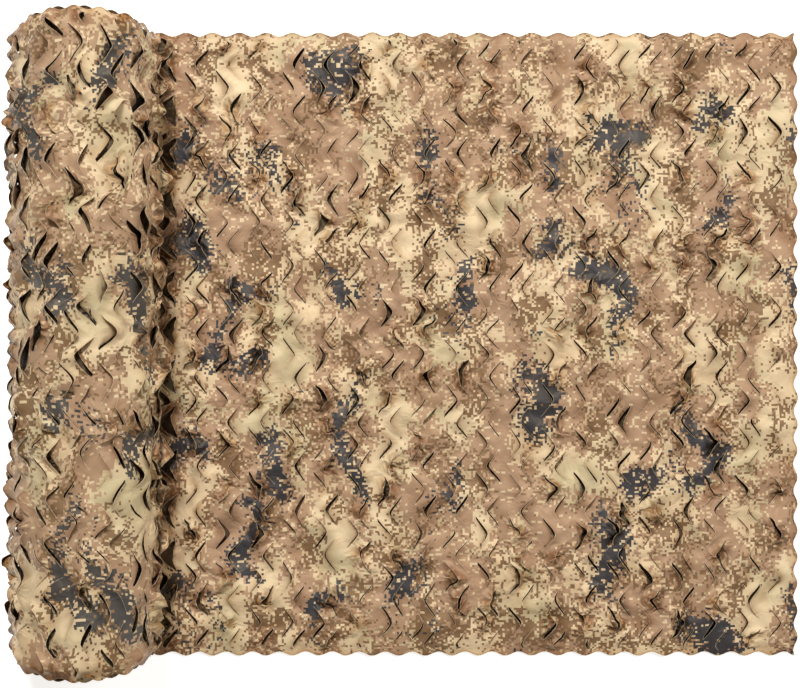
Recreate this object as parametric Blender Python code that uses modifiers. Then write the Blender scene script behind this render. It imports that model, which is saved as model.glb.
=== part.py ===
"""Camouflage netting: one slit-cut cloth, wound into a roll with its loose end laid out flat.

Run it with blender --background --python part.py, or from Blender's text editor. Units are metres,
with +Z up. X runs along the cloth, from the roll to the tip of the loose end, and Y runs across it.
The origin is in the middle of the footprint, on the surface that the netting rests on.

The object is two solids of the same cloth:
  netting_roll       the wound form, a slightly settled spiral with raised leaves, a step where the
                     loose end leaves it, and turns that stand unevenly at both ends
  netting_loose_end  the cloth from that step to its trimmed edge, with the slits that gape cut out
"""

import math
from collections import namedtuple

import bmesh
import bpy

# Driving dimensions
NET_WIDTH = 1.5  # across the cloth, between the tips of its scallops
OVERALL_LENGTH = 1.867  # from the far side of the roll to the tip of the loose end
ROLL_DIAMETER = 0.365  # over the leaves
CLOTH_THICKNESS = 0.003
SEAT_GAP = 0.0003  # between the roll and the cloth that leaves it

# The cut pattern: columns of chevron slits that point right and left by turns
COLUMN_PITCH = 0.078
ROWS = 14
ROW_PITCH = NET_WIDTH / ROWS
ZIGZAG_WIDTH = 0.036  # how far a cut line swings from side to side
SLIT_SHARE = 0.73  # of a row that the slit takes, the rest being the uncut bridge
COLUMN_ORIGIN = -0.2007
ROW_ORIGIN = -NET_WIDTH / 2 + 6.75 * ROW_PITCH
POINTS_RIGHT, POINTS_LEFT = -1, 1  # the side of its column that a cut line lies on

# How the slits stand open
LEAST_GAPE = 0.001
MOST_GAPE = 0.013
CUT_GAPE = 0.0045  # a slit that gapes less than this lies shut, and isn't cut out
EDGE_MARGIN = 0.022  # cloth left between a slit and the trimmed edge

# The trimmed edge
SCALLOP_PITCH = 0.064
SCALLOP_DEPTH = 0.010
SCALLOP_STEPS = 4  # points to a scallop: two on its tip and two in the hollow beside it

# The roll
LEAF_RELIEF = 0.014
TURN_LOFT = 0.015  # the height of one turn, which shows as a step
SETTLING = 0.004  # how far the roll's own weight flattens its underside
STEP_ANGLE = math.radians(6)  # from straight down to the step, towards the loose end
SHOULDER_DROP = 0.012  # the outer turn rounds over at the roll's ends
SHOULDER_REACH = 0.030
SWELL, SWELL_TWIST = 0.0025, 4.0  # slow unevenness of the wound surface, and its twist along it
COLUMNS_AROUND = 14
LINES_PER_COLUMN = 3
SAMPLES_PER_ROW = 4
# How much of the relief shows at a line of a column and a sample of a row: the apexes of both kinds
# of slit stand up most, and elsewhere the cloth lies low
LEAF_WEIGHTS = {(0, 0): 1.0, (1, 2): 1.0, (2, 1): 0.5, (2, 3): 0.4}
LEAST_LIFT = 0.4

# The loose end
LIE_HEIGHT = 0.009  # how high its swells stand off the surface
TONGUE_CURL = 0.45  # how far a tongue's tip curls up, as a share of its slit's gape
LIE_FREE = 0.12  # the length over which the swells grow, from the roll
CREASE_X, CREASE_WIDTH, CREASE_HEIGHT = 0.712, 0.028, 0.008
CREASE_SPAN = (-0.75, 0.35)
CREASE_FADES = (0.1, 0.2)  # the lengths over which it dies out at either end of its span

Wave = namedtuple("Wave", "along across start")
# The slow waves that the cloth's swells come from, in radians to a metre each way
LIE_WAVES = (Wave(7.1, 3.0, 0.6), Wave(4.3, -8.2, 2.1), Wave(-9.7, 12.3, 4.4))

Ring = namedtuple("Ring", "share stand")
# The turns seen at an end, from the rim to the middle: share of the outer radius, and how far they
# stand out of the end's plane
END_RINGS = (
    Ring(0.92, 0.004),
    Ring(0.81, -0.012),
    Ring(0.69, 0.002),
    Ring(0.56, -0.014),
    Ring(0.43, -0.003),
    Ring(0.29, -0.018),
    Ring(0.13, -0.006),
    Ring(0.00, -0.022),
)

Spot = namedtuple("Spot", "x y reach pull")
# Places where the leaves are pulled open: centre, reach and share of the full gape
PULLED_SPOTS = (
    Spot(-0.47, 0.54, 0.09, 0.55),
    Spot(-0.49, 0.05, 0.10, 0.30),
    Spot(-0.49, -0.42, 0.12, 0.30),
    Spot(0.65, -0.70, 0.10, 0.50),
    Spot(0.70, -0.15, 0.07, 0.35),
    Spot(0.48, -0.16, 0.06, 0.35),
    Spot(0.10, 0.60, 0.08, 0.30),
    Spot(-0.02, -0.30, 0.09, 0.25),
)

HASH_START, HASH_MASK = 2166136261, 0xFFFFFFFF
HASH_ROUNDS = ((16, 2246822519), (13, 3266489917), (16, 668265263))

COLLECTION_NAME = "camouflage_netting"
ROLL_COLOUR = (0.36, 0.24, 0.14, 1.0)
LOOSE_END_COLOUR = (0.41, 0.28, 0.16, 1.0)
CLOTH_ROUGHNESS = 0.8

ROLL_RADIUS = ROLL_DIAMETER / 2 - LEAF_RELIEF + TURN_LOFT * 0.4  # of the outer turn at the step
ROLL_X = (ROLL_DIAMETER - OVERALL_LENGTH) / 2
ROLL_Z = ROLL_RADIUS - SETTLING
STEP_X = ROLL_X + ROLL_RADIUS * math.sin(STEP_ANGLE)
TIP_X = OVERALL_LENGTH / 2


def clear_scene():
    for obj in list(bpy.data.objects):
        bpy.data.objects.remove(obj, do_unlink=True)


def smooth_step(value):
    value = min(max(value, 0.0), 1.0)
    return value * value * (3 - 2 * value)


def scatter(*keys):
    """A fixed number from 0 to 1 for each set of whole-number keys, by mixing their bits."""
    mixed = HASH_START
    for key in keys:
        mixed ^= key & HASH_MASK
        for shift, factor in HASH_ROUNDS:
            mixed = (mixed ^ mixed >> shift) * factor & HASH_MASK
    return mixed / HASH_MASK


def zigzag(y):
    """The sideways swing of every cut line, furthest right on the rows of ROW_ORIGIN."""
    return ZIGZAG_WIDTH / 2 * math.cos(2 * math.pi * (y - ROW_ORIGIN) / ROW_PITCH)


# --- The slits of the loose end ---


def slit_centre(column, row, side):
    """The apex of a slit: those that point left lie half a row from those that point right."""
    half_row = ROW_PITCH / 2 if side == POINTS_LEFT else 0.0
    return COLUMN_ORIGIN + column * COLUMN_PITCH, ROW_ORIGIN + row * ROW_PITCH + half_row


def gape_of(column, row, side):
    """The width of a slit at its apex. Most lie nearly shut, and some are pulled open."""
    x, y = slit_centre(column, row, side)
    pull = scatter(column, row, side) ** 3
    for spot in PULLED_SPOTS:
        pull += spot.pull * math.exp(-((x - spot.x) ** 2 + (y - spot.y) ** 2) / spot.reach**2)
    return LEAST_GAPE + (MOST_GAPE - LEAST_GAPE) * min(pull, 1.0)


def slit_outline(column, row, side, gape):
    """A crescent: its outer edge is round at the apex, and its tongue's edge is straighter."""
    apex_x, apex_y = slit_centre(column, row, side)
    half_height = SLIT_SHARE * ROW_PITCH / 2

    def place(share, opening):
        y = apex_y + share * half_height
        return apex_x + side * ZIGZAG_WIDTH / 2 + zigzag(y) + opening, y

    outer = [place(share, -side * gape * 0.5 * (1 - share * share)) for share in (-0.5, 0.0, 0.5)]
    return [place(-1.0, 0.0), *outer, place(1.0, 0.0), place(0.0, side * gape * 0.5)]


def tongue_tip(outline):
    """The tip of the tongue that a slit frees, the outline's last point, and its curl."""
    return outline[-1], TONGUE_CURL * abs(outline[2][0] - outline[-1][0])


def gaping_slits():
    first = math.floor((ROLL_X - COLUMN_ORIGIN) / COLUMN_PITCH)
    last = math.ceil((TIP_X - COLUMN_ORIGIN) / COLUMN_PITCH)
    outlines = []
    for column in range(first, last):
        for row in range(-ROWS, ROWS):
            for side in (POINTS_RIGHT, POINTS_LEFT):
                gape = gape_of(column, row, side)
                outline = slit_outline(column, row, side, gape)
                if gape >= CUT_GAPE and is_inside_cloth(outline):
                    outlines.append(outline)
    return outlines


def is_inside_cloth(outline):
    most_y = NET_WIDTH / 2 - EDGE_MARGIN
    least_x = STEP_X + ROLL_RADIUS / 2
    return all(least_x < x < TIP_X - EDGE_MARGIN and abs(y) < most_y for x, y in outline)


# --- The trimmed edge ---


def scallop(distance):
    """The edge's dip at a distance along it: a wave with blunt tips and hollows."""
    wave = math.sqrt(2) * math.cos(2 * math.pi * distance / SCALLOP_PITCH)
    return SCALLOP_DEPTH / 2 * (min(max(wave, -1.0), 1.0) - 1)


def edge_outline():
    """The loose end's edge, anticlockwise from the corner by the roll at -Y."""
    step = SCALLOP_PITCH / SCALLOP_STEPS
    start_x = STEP_X + SEAT_GAP
    half = NET_WIDTH / 2
    along = [TIP_X - (k + 0.5) * step for k in range(1, int((TIP_X - start_x) / step))]
    across = [(k + 0.5) * step for k in range(-int(half / step) + 1, int(half / step) - 1)]
    low = [(start_x, -half + SCALLOP_DEPTH / 2)]
    low += [(x, -half - scallop(TIP_X - x)) for x in reversed(along)]
    tip = [(TIP_X - SCALLOP_DEPTH / 2, -half + SCALLOP_DEPTH / 2)]
    tip += [(TIP_X + scallop(y), y) for y in across]
    tip += [(TIP_X - SCALLOP_DEPTH / 2, half - SCALLOP_DEPTH / 2)]
    high = [(x, half + scallop(TIP_X - x)) for x in along]
    high += [(start_x, half - SCALLOP_DEPTH / 2)]
    return low + tip + high


# --- The loose end ---


def lie_height(x, y):
    """How high the cloth lies: flat in most places, with soft swells and one soft crease."""
    waves = sum(math.sin(wave.along * x + wave.across * y + wave.start) for wave in LIE_WAVES)
    growth = smooth_step((x - STEP_X - LIE_FREE) / LIE_FREE)
    swells = LIE_HEIGHT * max(waves / len(LIE_WAVES), 0.0) * growth
    (low, high), (low_fade, high_fade) = CREASE_SPAN, CREASE_FADES
    ends = smooth_step((y - low) / low_fade) * smooth_step((high - y) / high_fade)
    crease = CREASE_HEIGHT * math.exp(-(((x - CREASE_X) / CREASE_WIDTH) ** 2)) * ends
    return swells + crease


def add_outline(curve, points):
    spline = curve.splines.new("POLY")
    spline.points.add(len(points) - 1)
    for point, (x, y) in zip(spline.points, points):
        point.co = (x, y, 0.0, 1.0)
    spline.use_cyclic_u = True


def flat_cloth(collection, slits):
    """The cloth as it is cut, with neither folds nor thickness."""
    curve = bpy.data.curves.new("cut_lines", "CURVE")
    curve.dimensions = "2D"
    curve.fill_mode = "BOTH"
    add_outline(curve, edge_outline())
    for slit in slits:
        add_outline(curve, slit)
    cut_lines = bpy.data.objects.new("cut_lines", curve)
    collection.objects.link(cut_lines)
    evaluated = cut_lines.evaluated_get(bpy.context.evaluated_depsgraph_get())
    cloth = bmesh.new()
    cloth.from_mesh(bpy.data.meshes.new_from_object(evaluated))
    bpy.data.objects.remove(cut_lines, do_unlink=True)
    bmesh.ops.remove_doubles(cloth, verts=cloth.verts, dist=1e-5)
    return cloth


def crease_cloth(cloth):
    """A row of points along the crease's crest, so that the cloth folds there."""
    bmesh.ops.beautify_fill(cloth, faces=cloth.faces, edges=cloth.edges)
    parts = [*cloth.verts, *cloth.edges, *cloth.faces]
    crest = (CREASE_X, 0.0, 0.0)
    bmesh.ops.bisect_plane(cloth, geom=parts, dist=1e-3, plane_co=crest, plane_no=(1, 0, 0))
    bmesh.ops.triangulate(cloth, faces=cloth.faces)


def make_loose_end(collection):
    slits = gaping_slits()
    cloth = flat_cloth(collection, slits)
    crease_cloth(cloth)
    tips = {(round(x, 4), round(y, 4)): curl for (x, y), curl in map(tongue_tip, slits)}
    for vert in cloth.verts:
        curl = tips.get((round(vert.co.x, 4), round(vert.co.y, 4)), 0.0)
        vert.co.z = lie_height(vert.co.x, vert.co.y) + curl
    for face in cloth.faces:
        if face.normal.z < 0:
            face.normal_flip()
    loose_end = finish_object("netting_loose_end", cloth, LOOSE_END_COLOUR, collection)
    thickness = loose_end.modifiers.new("cloth_thickness", "SOLIDIFY")
    thickness.thickness = CLOTH_THICKNESS
    thickness.offset = 1.0
    return loose_end


# --- The roll ---


def leaf_lift(line, sample):
    """The relief of the wound leaves: tongues stand up at the apexes of both kinds of slit."""
    column, place = divmod(line, LINES_PER_COLUMN)
    phase = (sample + 1) % SAMPLES_PER_ROW
    chance = LEAST_LIFT + (1 - LEAST_LIFT) * scatter(column, sample, place)
    return LEAF_RELIEF * LEAF_WEIGHTS.get((place, phase), 0.0) * chance


def roll_point(line, y, share, lift):
    """A point of the wound form. Lines run clockwise from the step, seen from -Y."""
    lines = COLUMNS_AROUND * LINES_PER_COLUMN
    turned = line % (lines + 1)  # the line past the last closes the step
    free = min(1.0, turned / 2, (lines - turned) / 2)
    turn = turned / lines + free * zigzag(y) / (2 * math.pi * ROLL_RADIUS)
    angle = -math.pi / 2 + STEP_ANGLE - 2 * math.pi * turn
    to_end = NET_WIDTH / 2 - abs(y)
    shoulder = SHOULDER_DROP * (1 - smooth_step(to_end / SHOULDER_REACH))
    swell = SWELL * math.sin(2 * angle + SWELL_TWIST * y) * free
    radius = share * (ROLL_RADIUS - TURN_LOFT * turned / lines - shoulder + free * lift + swell)
    z = ROLL_Z + radius * math.sin(angle)
    return ROLL_X + radius * math.cos(angle), y, max(z, 0.0)


def roll_rows():
    """Each row of the wound form, from the middle of one end to the middle of the other."""
    samples = ROWS * SAMPLES_PER_ROW
    half = NET_WIDTH / 2
    barrel = [(-half + k * NET_WIDTH / samples, 1.0, k) for k in range(samples + 1)]
    near = [(-half - ring.stand, ring.share, None) for ring in reversed(END_RINGS)]
    far = [(half + ring.stand, ring.share, None) for ring in END_RINGS]
    return near + barrel + far


def make_roll(collection):
    rows = roll_rows()
    lines = COLUMNS_AROUND * LINES_PER_COLUMN + 1
    form = bmesh.new()
    bmesh.ops.create_grid(form, x_segments=lines, y_segments=len(rows) - 1, size=0.5)
    for vert in form.verts:
        line = round((vert.co.x + 0.5) * lines)
        y, share, sample = rows[round((vert.co.y + 0.5) * (len(rows) - 1))]
        lift = 0.0 if sample is None else leaf_lift(line, sample)
        vert.co = roll_point(line, y, share, lift)
    bmesh.ops.remove_doubles(form, verts=form.verts, dist=1e-5)
    bmesh.ops.recalc_face_normals(form, faces=form.faces)
    return finish_object("netting_roll", form, ROLL_COLOUR, collection)


# --- The whole object ---


def cloth_material(name, colour):
    material = bpy.data.materials.new(name)
    material.use_nodes = True
    shader = material.node_tree.nodes["Principled BSDF"]
    shader.inputs["Base Color"].default_value = colour
    shader.inputs["Roughness"].default_value = CLOTH_ROUGHNESS
    shader.inputs["Metallic"].default_value = 0.0
    return material


def finish_object(name, form, colour, collection):
    mesh = bpy.data.meshes.new(name)
    form.to_mesh(mesh)
    form.free()
    mesh.materials.append(cloth_material(name + "_cloth", colour))
    obj = bpy.data.objects.new(name, mesh)
    collection.objects.link(obj)
    return obj


def main():
    clear_scene()
    collection = bpy.data.collections.new(COLLECTION_NAME)
    bpy.context.scene.collection.children.link(collection)
    make_roll(collection)
    make_loose_end(collection)


main()
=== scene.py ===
"""Camouflage netting: the looks of a slit-cut printed cloth, wound into a roll with a loose end.

The cloth is one length of woven polyester. Chevron slits cut it into ribbons that bend into
leaves, and a wavy cutter trims its edges. Here it is made as it is cut, flat and whole, in the
cloth's own coordinates: `along` its length and `across` its width. Then each slit is opened, its
tongue is curled, and the cloth is laid on the floor or wound on the roll. Lengths are in metres
and angles in radians.
"""

import logging
import math
from collections.abc import Callable
from dataclasses import dataclass, field, replace
from enum import Enum

import bmesh
import bpy
import numpy as np
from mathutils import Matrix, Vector, noise


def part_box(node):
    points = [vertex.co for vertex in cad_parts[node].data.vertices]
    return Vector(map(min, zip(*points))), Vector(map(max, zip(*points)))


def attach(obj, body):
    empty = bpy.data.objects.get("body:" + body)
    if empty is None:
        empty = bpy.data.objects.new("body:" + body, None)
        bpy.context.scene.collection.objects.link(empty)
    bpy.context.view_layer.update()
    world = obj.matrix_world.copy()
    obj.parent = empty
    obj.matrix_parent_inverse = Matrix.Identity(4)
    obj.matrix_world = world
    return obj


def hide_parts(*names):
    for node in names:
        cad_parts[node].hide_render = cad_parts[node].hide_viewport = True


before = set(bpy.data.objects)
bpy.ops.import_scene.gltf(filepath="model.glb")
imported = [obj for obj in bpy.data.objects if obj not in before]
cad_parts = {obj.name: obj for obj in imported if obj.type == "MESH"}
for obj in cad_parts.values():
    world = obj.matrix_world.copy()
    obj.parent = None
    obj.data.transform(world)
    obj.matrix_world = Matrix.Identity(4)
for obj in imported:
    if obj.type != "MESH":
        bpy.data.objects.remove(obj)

Field = Callable[[np.ndarray, np.ndarray], np.ndarray]
Socket = bpy.types.NodeSocket
Triple = tuple[float, float, float]
Colour = tuple[float, float, float, float]
Value = float | Triple | Colour | Socket

TINY = 1e-6
LOG = logging.getLogger("netting")
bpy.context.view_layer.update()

ROLL_NODE = "netting_roll"
LOOSE_END_NODE = "netting_loose_end"
BODY = "root"
FLAT_MAP = "flat_cloth"
CUT_EDGE_ATTRIBUTE = "cut_edge"
PAINTED_SHADE_ATTRIBUTE = "painted_shade"
CRUMPLED_ATTRIBUTE = "crumpled"


class Points(Enum):
    """Which way a slit's tongue points. The value is the side of the cut that the tongue is on."""

    RIGHT = -1
    LEFT = 1


class LaidDraw(Enum):
    """What a slit of the loose end draws by chance."""

    RISES = 11
    BEND = 12
    TWIST = 13
    LIP = 14
    LIP_TWIST = 15
    SKEW = 16
    LEAN = 17
    KERF = 18
    CURL = 19
    ROLLS_UP = 20
    SHADE = 21
    LAPPED = 22
    CRUMPLED = 23


class WoundDraw(Enum):
    """What a slit of the roll draws by chance."""

    BEND = 20
    SINKS = 21
    TWIST = 22
    LIP = 23
    LIP_TWIST = 24
    SKEW_AND_SHADE = 25
    KERF = 26
    LEAN_AND_CRUMPLE = 27
    GAPE = 28
    CURL = 29
    LAPPED = 30


def smooth_step(value: np.ndarray | float) -> np.ndarray | float:
    """Eases from 0 to 1, and holds anything outside at the nearer end."""
    value = np.clip(value, 0.0, 1.0)
    return value * value * (3 - 2 * value)


def nearness(distance: np.ndarray | float, reach: float) -> np.ndarray | float:
    """Fades from 1 at no distance to almost 0 at twice the reach."""
    return np.exp(-((distance / reach) ** 2))


def wrinkle(along: float, across: float, size: float, seed: float) -> float:
    """A smooth chance height from about -1 to 1 whose swells are `size` long."""
    return noise.noise(Vector((along / size, across / size, seed)))


def wrinkles(along: np.ndarray, across: np.ndarray, size: float, seed: float) -> np.ndarray:
    """Such a height at each of many places."""
    return np.array([wrinkle(a, b, size, seed) for a, b in zip(along, across)])


@dataclass(frozen=True)
class Rising:
    """A number that rises with a share from 0 to 1.

    Args:
        least: The number at 0.
        rise: How much more it is at 1.
    """

    least: float
    rise: float

    def at(self, share: float) -> float:
        """The number at a share."""
        return self.least + self.rise * share


@dataclass(frozen=True)
class Fade:
    """A share that eases from 0 to 1 past a place.

    Args:
        start: The place where it leaves 0.
        length: How much further on it reaches 1.
    """

    start: float
    length: float

    def above(self, place: np.ndarray | float) -> np.ndarray | float:
        """The share at a place, where it grows upwards from the start."""
        return smooth_step((place - self.start) / self.length)

    def below(self, place: np.ndarray | float) -> np.ndarray | float:
        """The share at a place, where it grows downwards from the start."""
        return smooth_step((self.start - place) / self.length)


@dataclass(frozen=True)
class Swells:
    """Smooth chance swells over the cloth.

    Args:
        rise: How high they stand, and how deep they dip.
        size: How long each is.
        seed: Which part of the noise they follow.
    """

    rise: float
    size: float
    seed: float

    def over(self, along: np.ndarray, across: np.ndarray) -> np.ndarray:
        """Their height at each of many places."""
        return self.rise * wrinkles(along, across, self.size, self.seed)


@dataclass(frozen=True)
class Wave:
    """A long straight swell.

    Args:
        along: Radians to a metre along the cloth.
        across: Radians to a metre across it.
        phase: How far it is shifted, in radians.
    """

    along: float
    across: float
    phase: float

    def over(self, along: np.ndarray, across: np.ndarray) -> np.ndarray:
        """Its height at each of many places, from -1 to 1."""
        return np.sin(self.along * along + self.across * across + self.phase)


@dataclass(frozen=True)
class Scatter:
    """Fixed chance numbers, the same each run, by mixing the bits of whole-number keys."""

    start: int = 2166136261
    mask: int = 0xFFFFFFFF
    rounds: tuple[tuple[int, int], ...] = ((16, 2246822519), (13, 3266489917), (16, 668265263))

    def draw(self, *keys: int) -> float:
        """Mixes the keys.

        Args:
            keys: Whole numbers that name what is drawn.

        Returns:
            A number from 0 to 1.
        """
        mixed = self.start
        for key in keys:
            mixed ^= key & self.mask
            for shift, factor in self.rounds:
                mixed = (mixed ^ mixed >> shift) * factor & self.mask
        return mixed / self.mask


SCATTER = Scatter()


@dataclass(frozen=True)
class CutPattern:
    """The cutting die: zigzag lines across the cloth, cut in slits that leave bridges between."""

    net_width: float = 1.5
    rows: int = 14
    column_pitch: float = 0.078
    zigzag_width: float = 0.036
    straightness: float = 0.91
    column_origin: float = -0.2007
    row_origin_rows: float = 6.75
    narrow_steps: int = 4
    wide_steps: int = 5
    row_steps: int = 16
    slit_half_steps: int = 6
    scallop_pitch: float = 0.064
    scallop_depth: float = 0.010

    @property
    def row_pitch(self) -> float:
        """The height of one row of the pattern."""
        return self.net_width / self.rows

    @property
    def row_origin(self) -> float:
        """Where across the cloth a row of right-pointing slits has its apexes."""
        return -self.net_width / 2 + self.row_origin_rows * self.row_pitch

    @property
    def column_steps(self) -> int:
        """Grid steps from one column of apexes to the next."""
        return self.narrow_steps + self.wide_steps

    @property
    def row_step(self) -> float:
        """The height of one grid row."""
        return self.row_pitch / self.row_steps

    @property
    def top_row(self) -> int:
        """The grid row at the edge at +Y."""
        return self.rows * self.row_steps

    def line_place(self, line: int) -> float:
        """Finds a grid line on the flat cloth.

        Args:
            line: The grid line's number.

        Returns:
            How far along the cloth it lies, before it swings from side to side.
        """
        column, step = divmod(line, self.column_steps)
        start = self.column_origin + column * self.column_pitch - self.zigzag_width / 2
        if step <= self.narrow_steps:
            return start + self.zigzag_width * step / self.narrow_steps
        wide = self.column_pitch - self.zigzag_width
        return start + self.zigzag_width + wide * (step - self.narrow_steps) / self.wide_steps

    def nearest_line(self, along: float) -> int:
        """Finds the grid line that lies nearest to a place.

        Args:
            along: The place's distance along the cloth.

        Returns:
            The grid line's number.
        """
        guess = math.floor((along - self.column_origin) / self.column_pitch) * self.column_steps
        near = range(guess - self.column_steps, guess + 3 * self.column_steps)
        return min(near, key=lambda line: abs(self.line_place(line) - along))

    def zigzag(self, across: np.ndarray | float) -> np.ndarray | float:
        """Swings a cut line from side to side: straight legs that meet in round points.

        Args:
            across: Distances across the cloth.

        Returns:
            How far along the cloth the line swings there.
        """
        turn = 2 * np.pi * (across - self.row_origin) / self.row_pitch
        legs = np.arcsin(self.straightness * np.cos(turn)) / math.asin(self.straightness)
        return self.zigzag_width / 2 * legs

    def scallop(self, distance: np.ndarray) -> np.ndarray:
        """How far the trimmed edge dips at a distance along it."""
        wave = np.cos(2 * np.pi * distance / self.scallop_pitch)
        return self.scallop_depth / 2 * (1 - wave)


PATTERN = CutPattern()
FINE_PATTERN = CutPattern(narrow_steps=5, wide_steps=6, row_steps=20, slit_half_steps=8)


@dataclass(frozen=True)
class Spot:
    """A place where the leaves are pulled open."""

    along: float
    across: float
    reach: float
    pull: float

    def pull_at(self, along: float, across: float) -> float:
        """Its share of the full gape at a place."""
        away = ((along - self.along) ** 2 + (across - self.across) ** 2) / self.reach**2
        return self.pull * math.exp(-away)


PULLED_SPOTS = (
    Spot(-0.47, 0.54, 0.09, 0.55),
    Spot(-0.49, 0.05, 0.10, 0.30),
    Spot(-0.49, -0.42, 0.12, 0.30),
    Spot(0.65, -0.70, 0.10, 0.50),
    Spot(0.70, -0.15, 0.07, 0.35),
    Spot(0.48, -0.16, 0.06, 0.35),
    Spot(0.10, 0.60, 0.08, 0.30),
    Spot(-0.02, -0.30, 0.09, 0.25),
)
ROLL_SPOTS = (
    # On the roll, the first number is in turns from where the cloth leaves it.
    Spot(0.51, 0.60, 0.05, 0.6),
    Spot(0.59, 0.53, 0.06, 0.6),
    Spot(0.68, 0.62, 0.06, 0.5),
    Spot(0.68, 0.48, 0.06, 0.5),
    Spot(0.53, 0.34, 0.05, 0.7),
    Spot(0.70, 0.21, 0.06, 0.5),
    Spot(0.62, -0.30, 0.06, 0.5),
    Spot(0.45, -0.55, 0.06, 0.5),
)


@dataclass
class Slit:
    """One cut, from its first to its last grid row, and how it stands open."""

    line: int
    first: int
    last: int
    points: Points
    column: int
    row: int
    kerf: float = 0.002
    gape: float = 0.002
    bend: float = 0.0  # where its tongue joins the cloth, upwards
    curl: float = 0.0  # along a tongue of the greatest depth
    twist: float = 0.0  # of its tongue, which lifts one leg and drops the other
    lip: float = 0.0  # how far its other edge stands up
    lip_twist: float = 0.0  # how that edge rises at one end and falls at the other
    skew: float = 0.0  # how far its tongue's tip is drawn across the cloth
    lean: float = 0.0  # how much wider it gapes towards its last row than its first
    shade_amount: float = 1.0  # how much painted shade lies beside it
    crumple: float = 0.0  # how crumpled the cloth round it is

    def draw(self, kind: LaidDraw | WoundDraw) -> float:
        """Its own chance number of a kind, from 0 to 1."""
        return SCATTER.draw(self.column, self.row, kind.value, self.points.value)

    def swing(self, kind: LaidDraw | WoundDraw) -> float:
        """Its own chance number of a kind, from -0.5 to 0.5."""
        return self.draw(kind) - 0.5

    def place(self, pattern: CutPattern) -> tuple[float, float]:
        """How far along and across the flat cloth its apex lies."""
        across = -pattern.net_width / 2 + (self.first + self.last) / 2 * pattern.row_step
        return pattern.line_place(self.line) - self.points.value * pattern.zigzag_width / 2, across


def pattern_slits(
    pattern: CutPattern, first_line: int, last_line: int, edge_rows: int
) -> list[Slit]:
    """Lists every slit between two grid lines.

    Args:
        pattern: The pattern that the slits are cut in.
        first_line: The first grid line.
        last_line: The grid line after the last one.
        edge_rows: The grid rows that stay uncut at each edge of the cloth.

    Returns:
        The slits, shut, with their columns and rows counted from the pattern's origin.
    """
    found = []
    steps = pattern.row_steps
    origin = round(pattern.row_origin_rows * steps)
    low, high = edge_rows, pattern.top_row - edge_rows
    kinds = {0: (Points.RIGHT, 0), pattern.narrow_steps: (Points.LEFT, steps // 2)}
    for line in range(first_line, last_line):
        column, step = divmod(line, pattern.column_steps)
        if step not in kinds:
            continue
        points, shift = kinds[step]
        for row in range(-pattern.rows, pattern.rows):
            centre = origin + row * steps + shift
            start = max(centre - pattern.slit_half_steps, low)
            stop = min(centre + pattern.slit_half_steps, high)
            if stop - start >= pattern.slit_half_steps:
                found.append(Slit(line, start, stop, points, column, row))
    return found


@dataclass
class RollForm:
    """The wound form, read from the frame's roll.

    Args:
        turn_loft: How much thicker each turn makes the roll's radius.
        leaf_relief: How far the leaves stand out of the outer turn.
        lofts_out: How many turns' loft further out the outer turn starts.
        lofts_back: How many turns' loft the axis lies back from the roll's middle.
        step_angle: The angle past the lowest point where the cloth leaves the roll.
        settling: How far the roll's weight flattens it.
        shoulder_drop: How far the outer turn's ends are rounded down.
        shoulder_reach: How near the ends they start to be rounded.
        innermost: The radius of the hollow in the middle.
    """

    turn_loft: float = 0.015
    leaf_relief: float = 0.014
    lofts_out: float = 0.60
    lofts_back: float = 0.25
    step_angle: float = math.radians(6)
    settling: float = 0.004
    shoulder_drop: float = 0.012
    shoulder_reach: float = 0.030
    innermost: float = 0.016
    radius: float = field(init=False)
    axis_x: float = field(init=False)

    def __post_init__(self) -> None:
        """Takes the roll's size and place from its node's box."""
        low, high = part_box(ROLL_NODE)
        half = (high[0] - low[0]) / 2
        self.radius = half - self.leaf_relief + self.turn_loft * self.lofts_out
        self.axis_x = low[0] + self.radius + self.leaf_relief - self.turn_loft * self.lofts_back

    @property
    def axis_z(self) -> float:
        """The height of the roll's axis."""
        return self.radius - self.settling

    @property
    def leaves_at(self) -> float:
        """Where along the cloth it leaves the roll."""
        return self.axis_x + self.radius * math.sin(self.step_angle)

    @property
    def turns(self) -> float:
        """The turns of the whole roll."""
        return (self.radius - self.innermost) / self.turn_loft

    def length_to(self, turn: float) -> float:
        """The length of cloth wound in the outermost turns."""
        return 2 * math.pi * (self.radius * turn - self.turn_loft * turn * turn / 2)

    def turn_at(self, along: np.ndarray | float) -> np.ndarray | float:
        """Finds how many turns in from where the cloth leaves the roll a place is wound.

        Args:
            along: How far along the cloth the place lies.

        Returns:
            The turns, as a number that grows inwards.
        """
        wound = self.leaves_at - along
        inner = np.maximum(self.radius**2 - self.turn_loft * wound / np.pi, TINY)
        return (self.radius - np.sqrt(inner)) / self.turn_loft


@dataclass
class FloorLay:
    """Lays cloth on the floor.

    Args:
        tip: Where the cloth's end lies.
        under: How high what lies under it stands, away from its edges.
    """

    tip: float
    under: float = 0.0
    clearance: float = 0.0006
    soft: float = 0.002
    edge_reach: float = 0.03

    def place(self, along: np.ndarray, across: np.ndarray, height: np.ndarray) -> np.ndarray:
        """Turns cloth coordinates into points.

        Args:
            along: How far along the cloth each point lies.
            across: How far across it each lies.
            height: How high each stands over the cloth's resting place.

        Returns:
            The points, a row for each.
        """
        inside = np.minimum(PATTERN.net_width / 2 - np.abs(across), self.tip - along)
        least = self.clearance + self.under * smooth_step(inside / self.edge_reach)
        lifted = self.soft * np.logaddexp(0.0, (height - least) / self.soft) + least
        return np.stack([along, across, lifted], axis=1)


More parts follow.
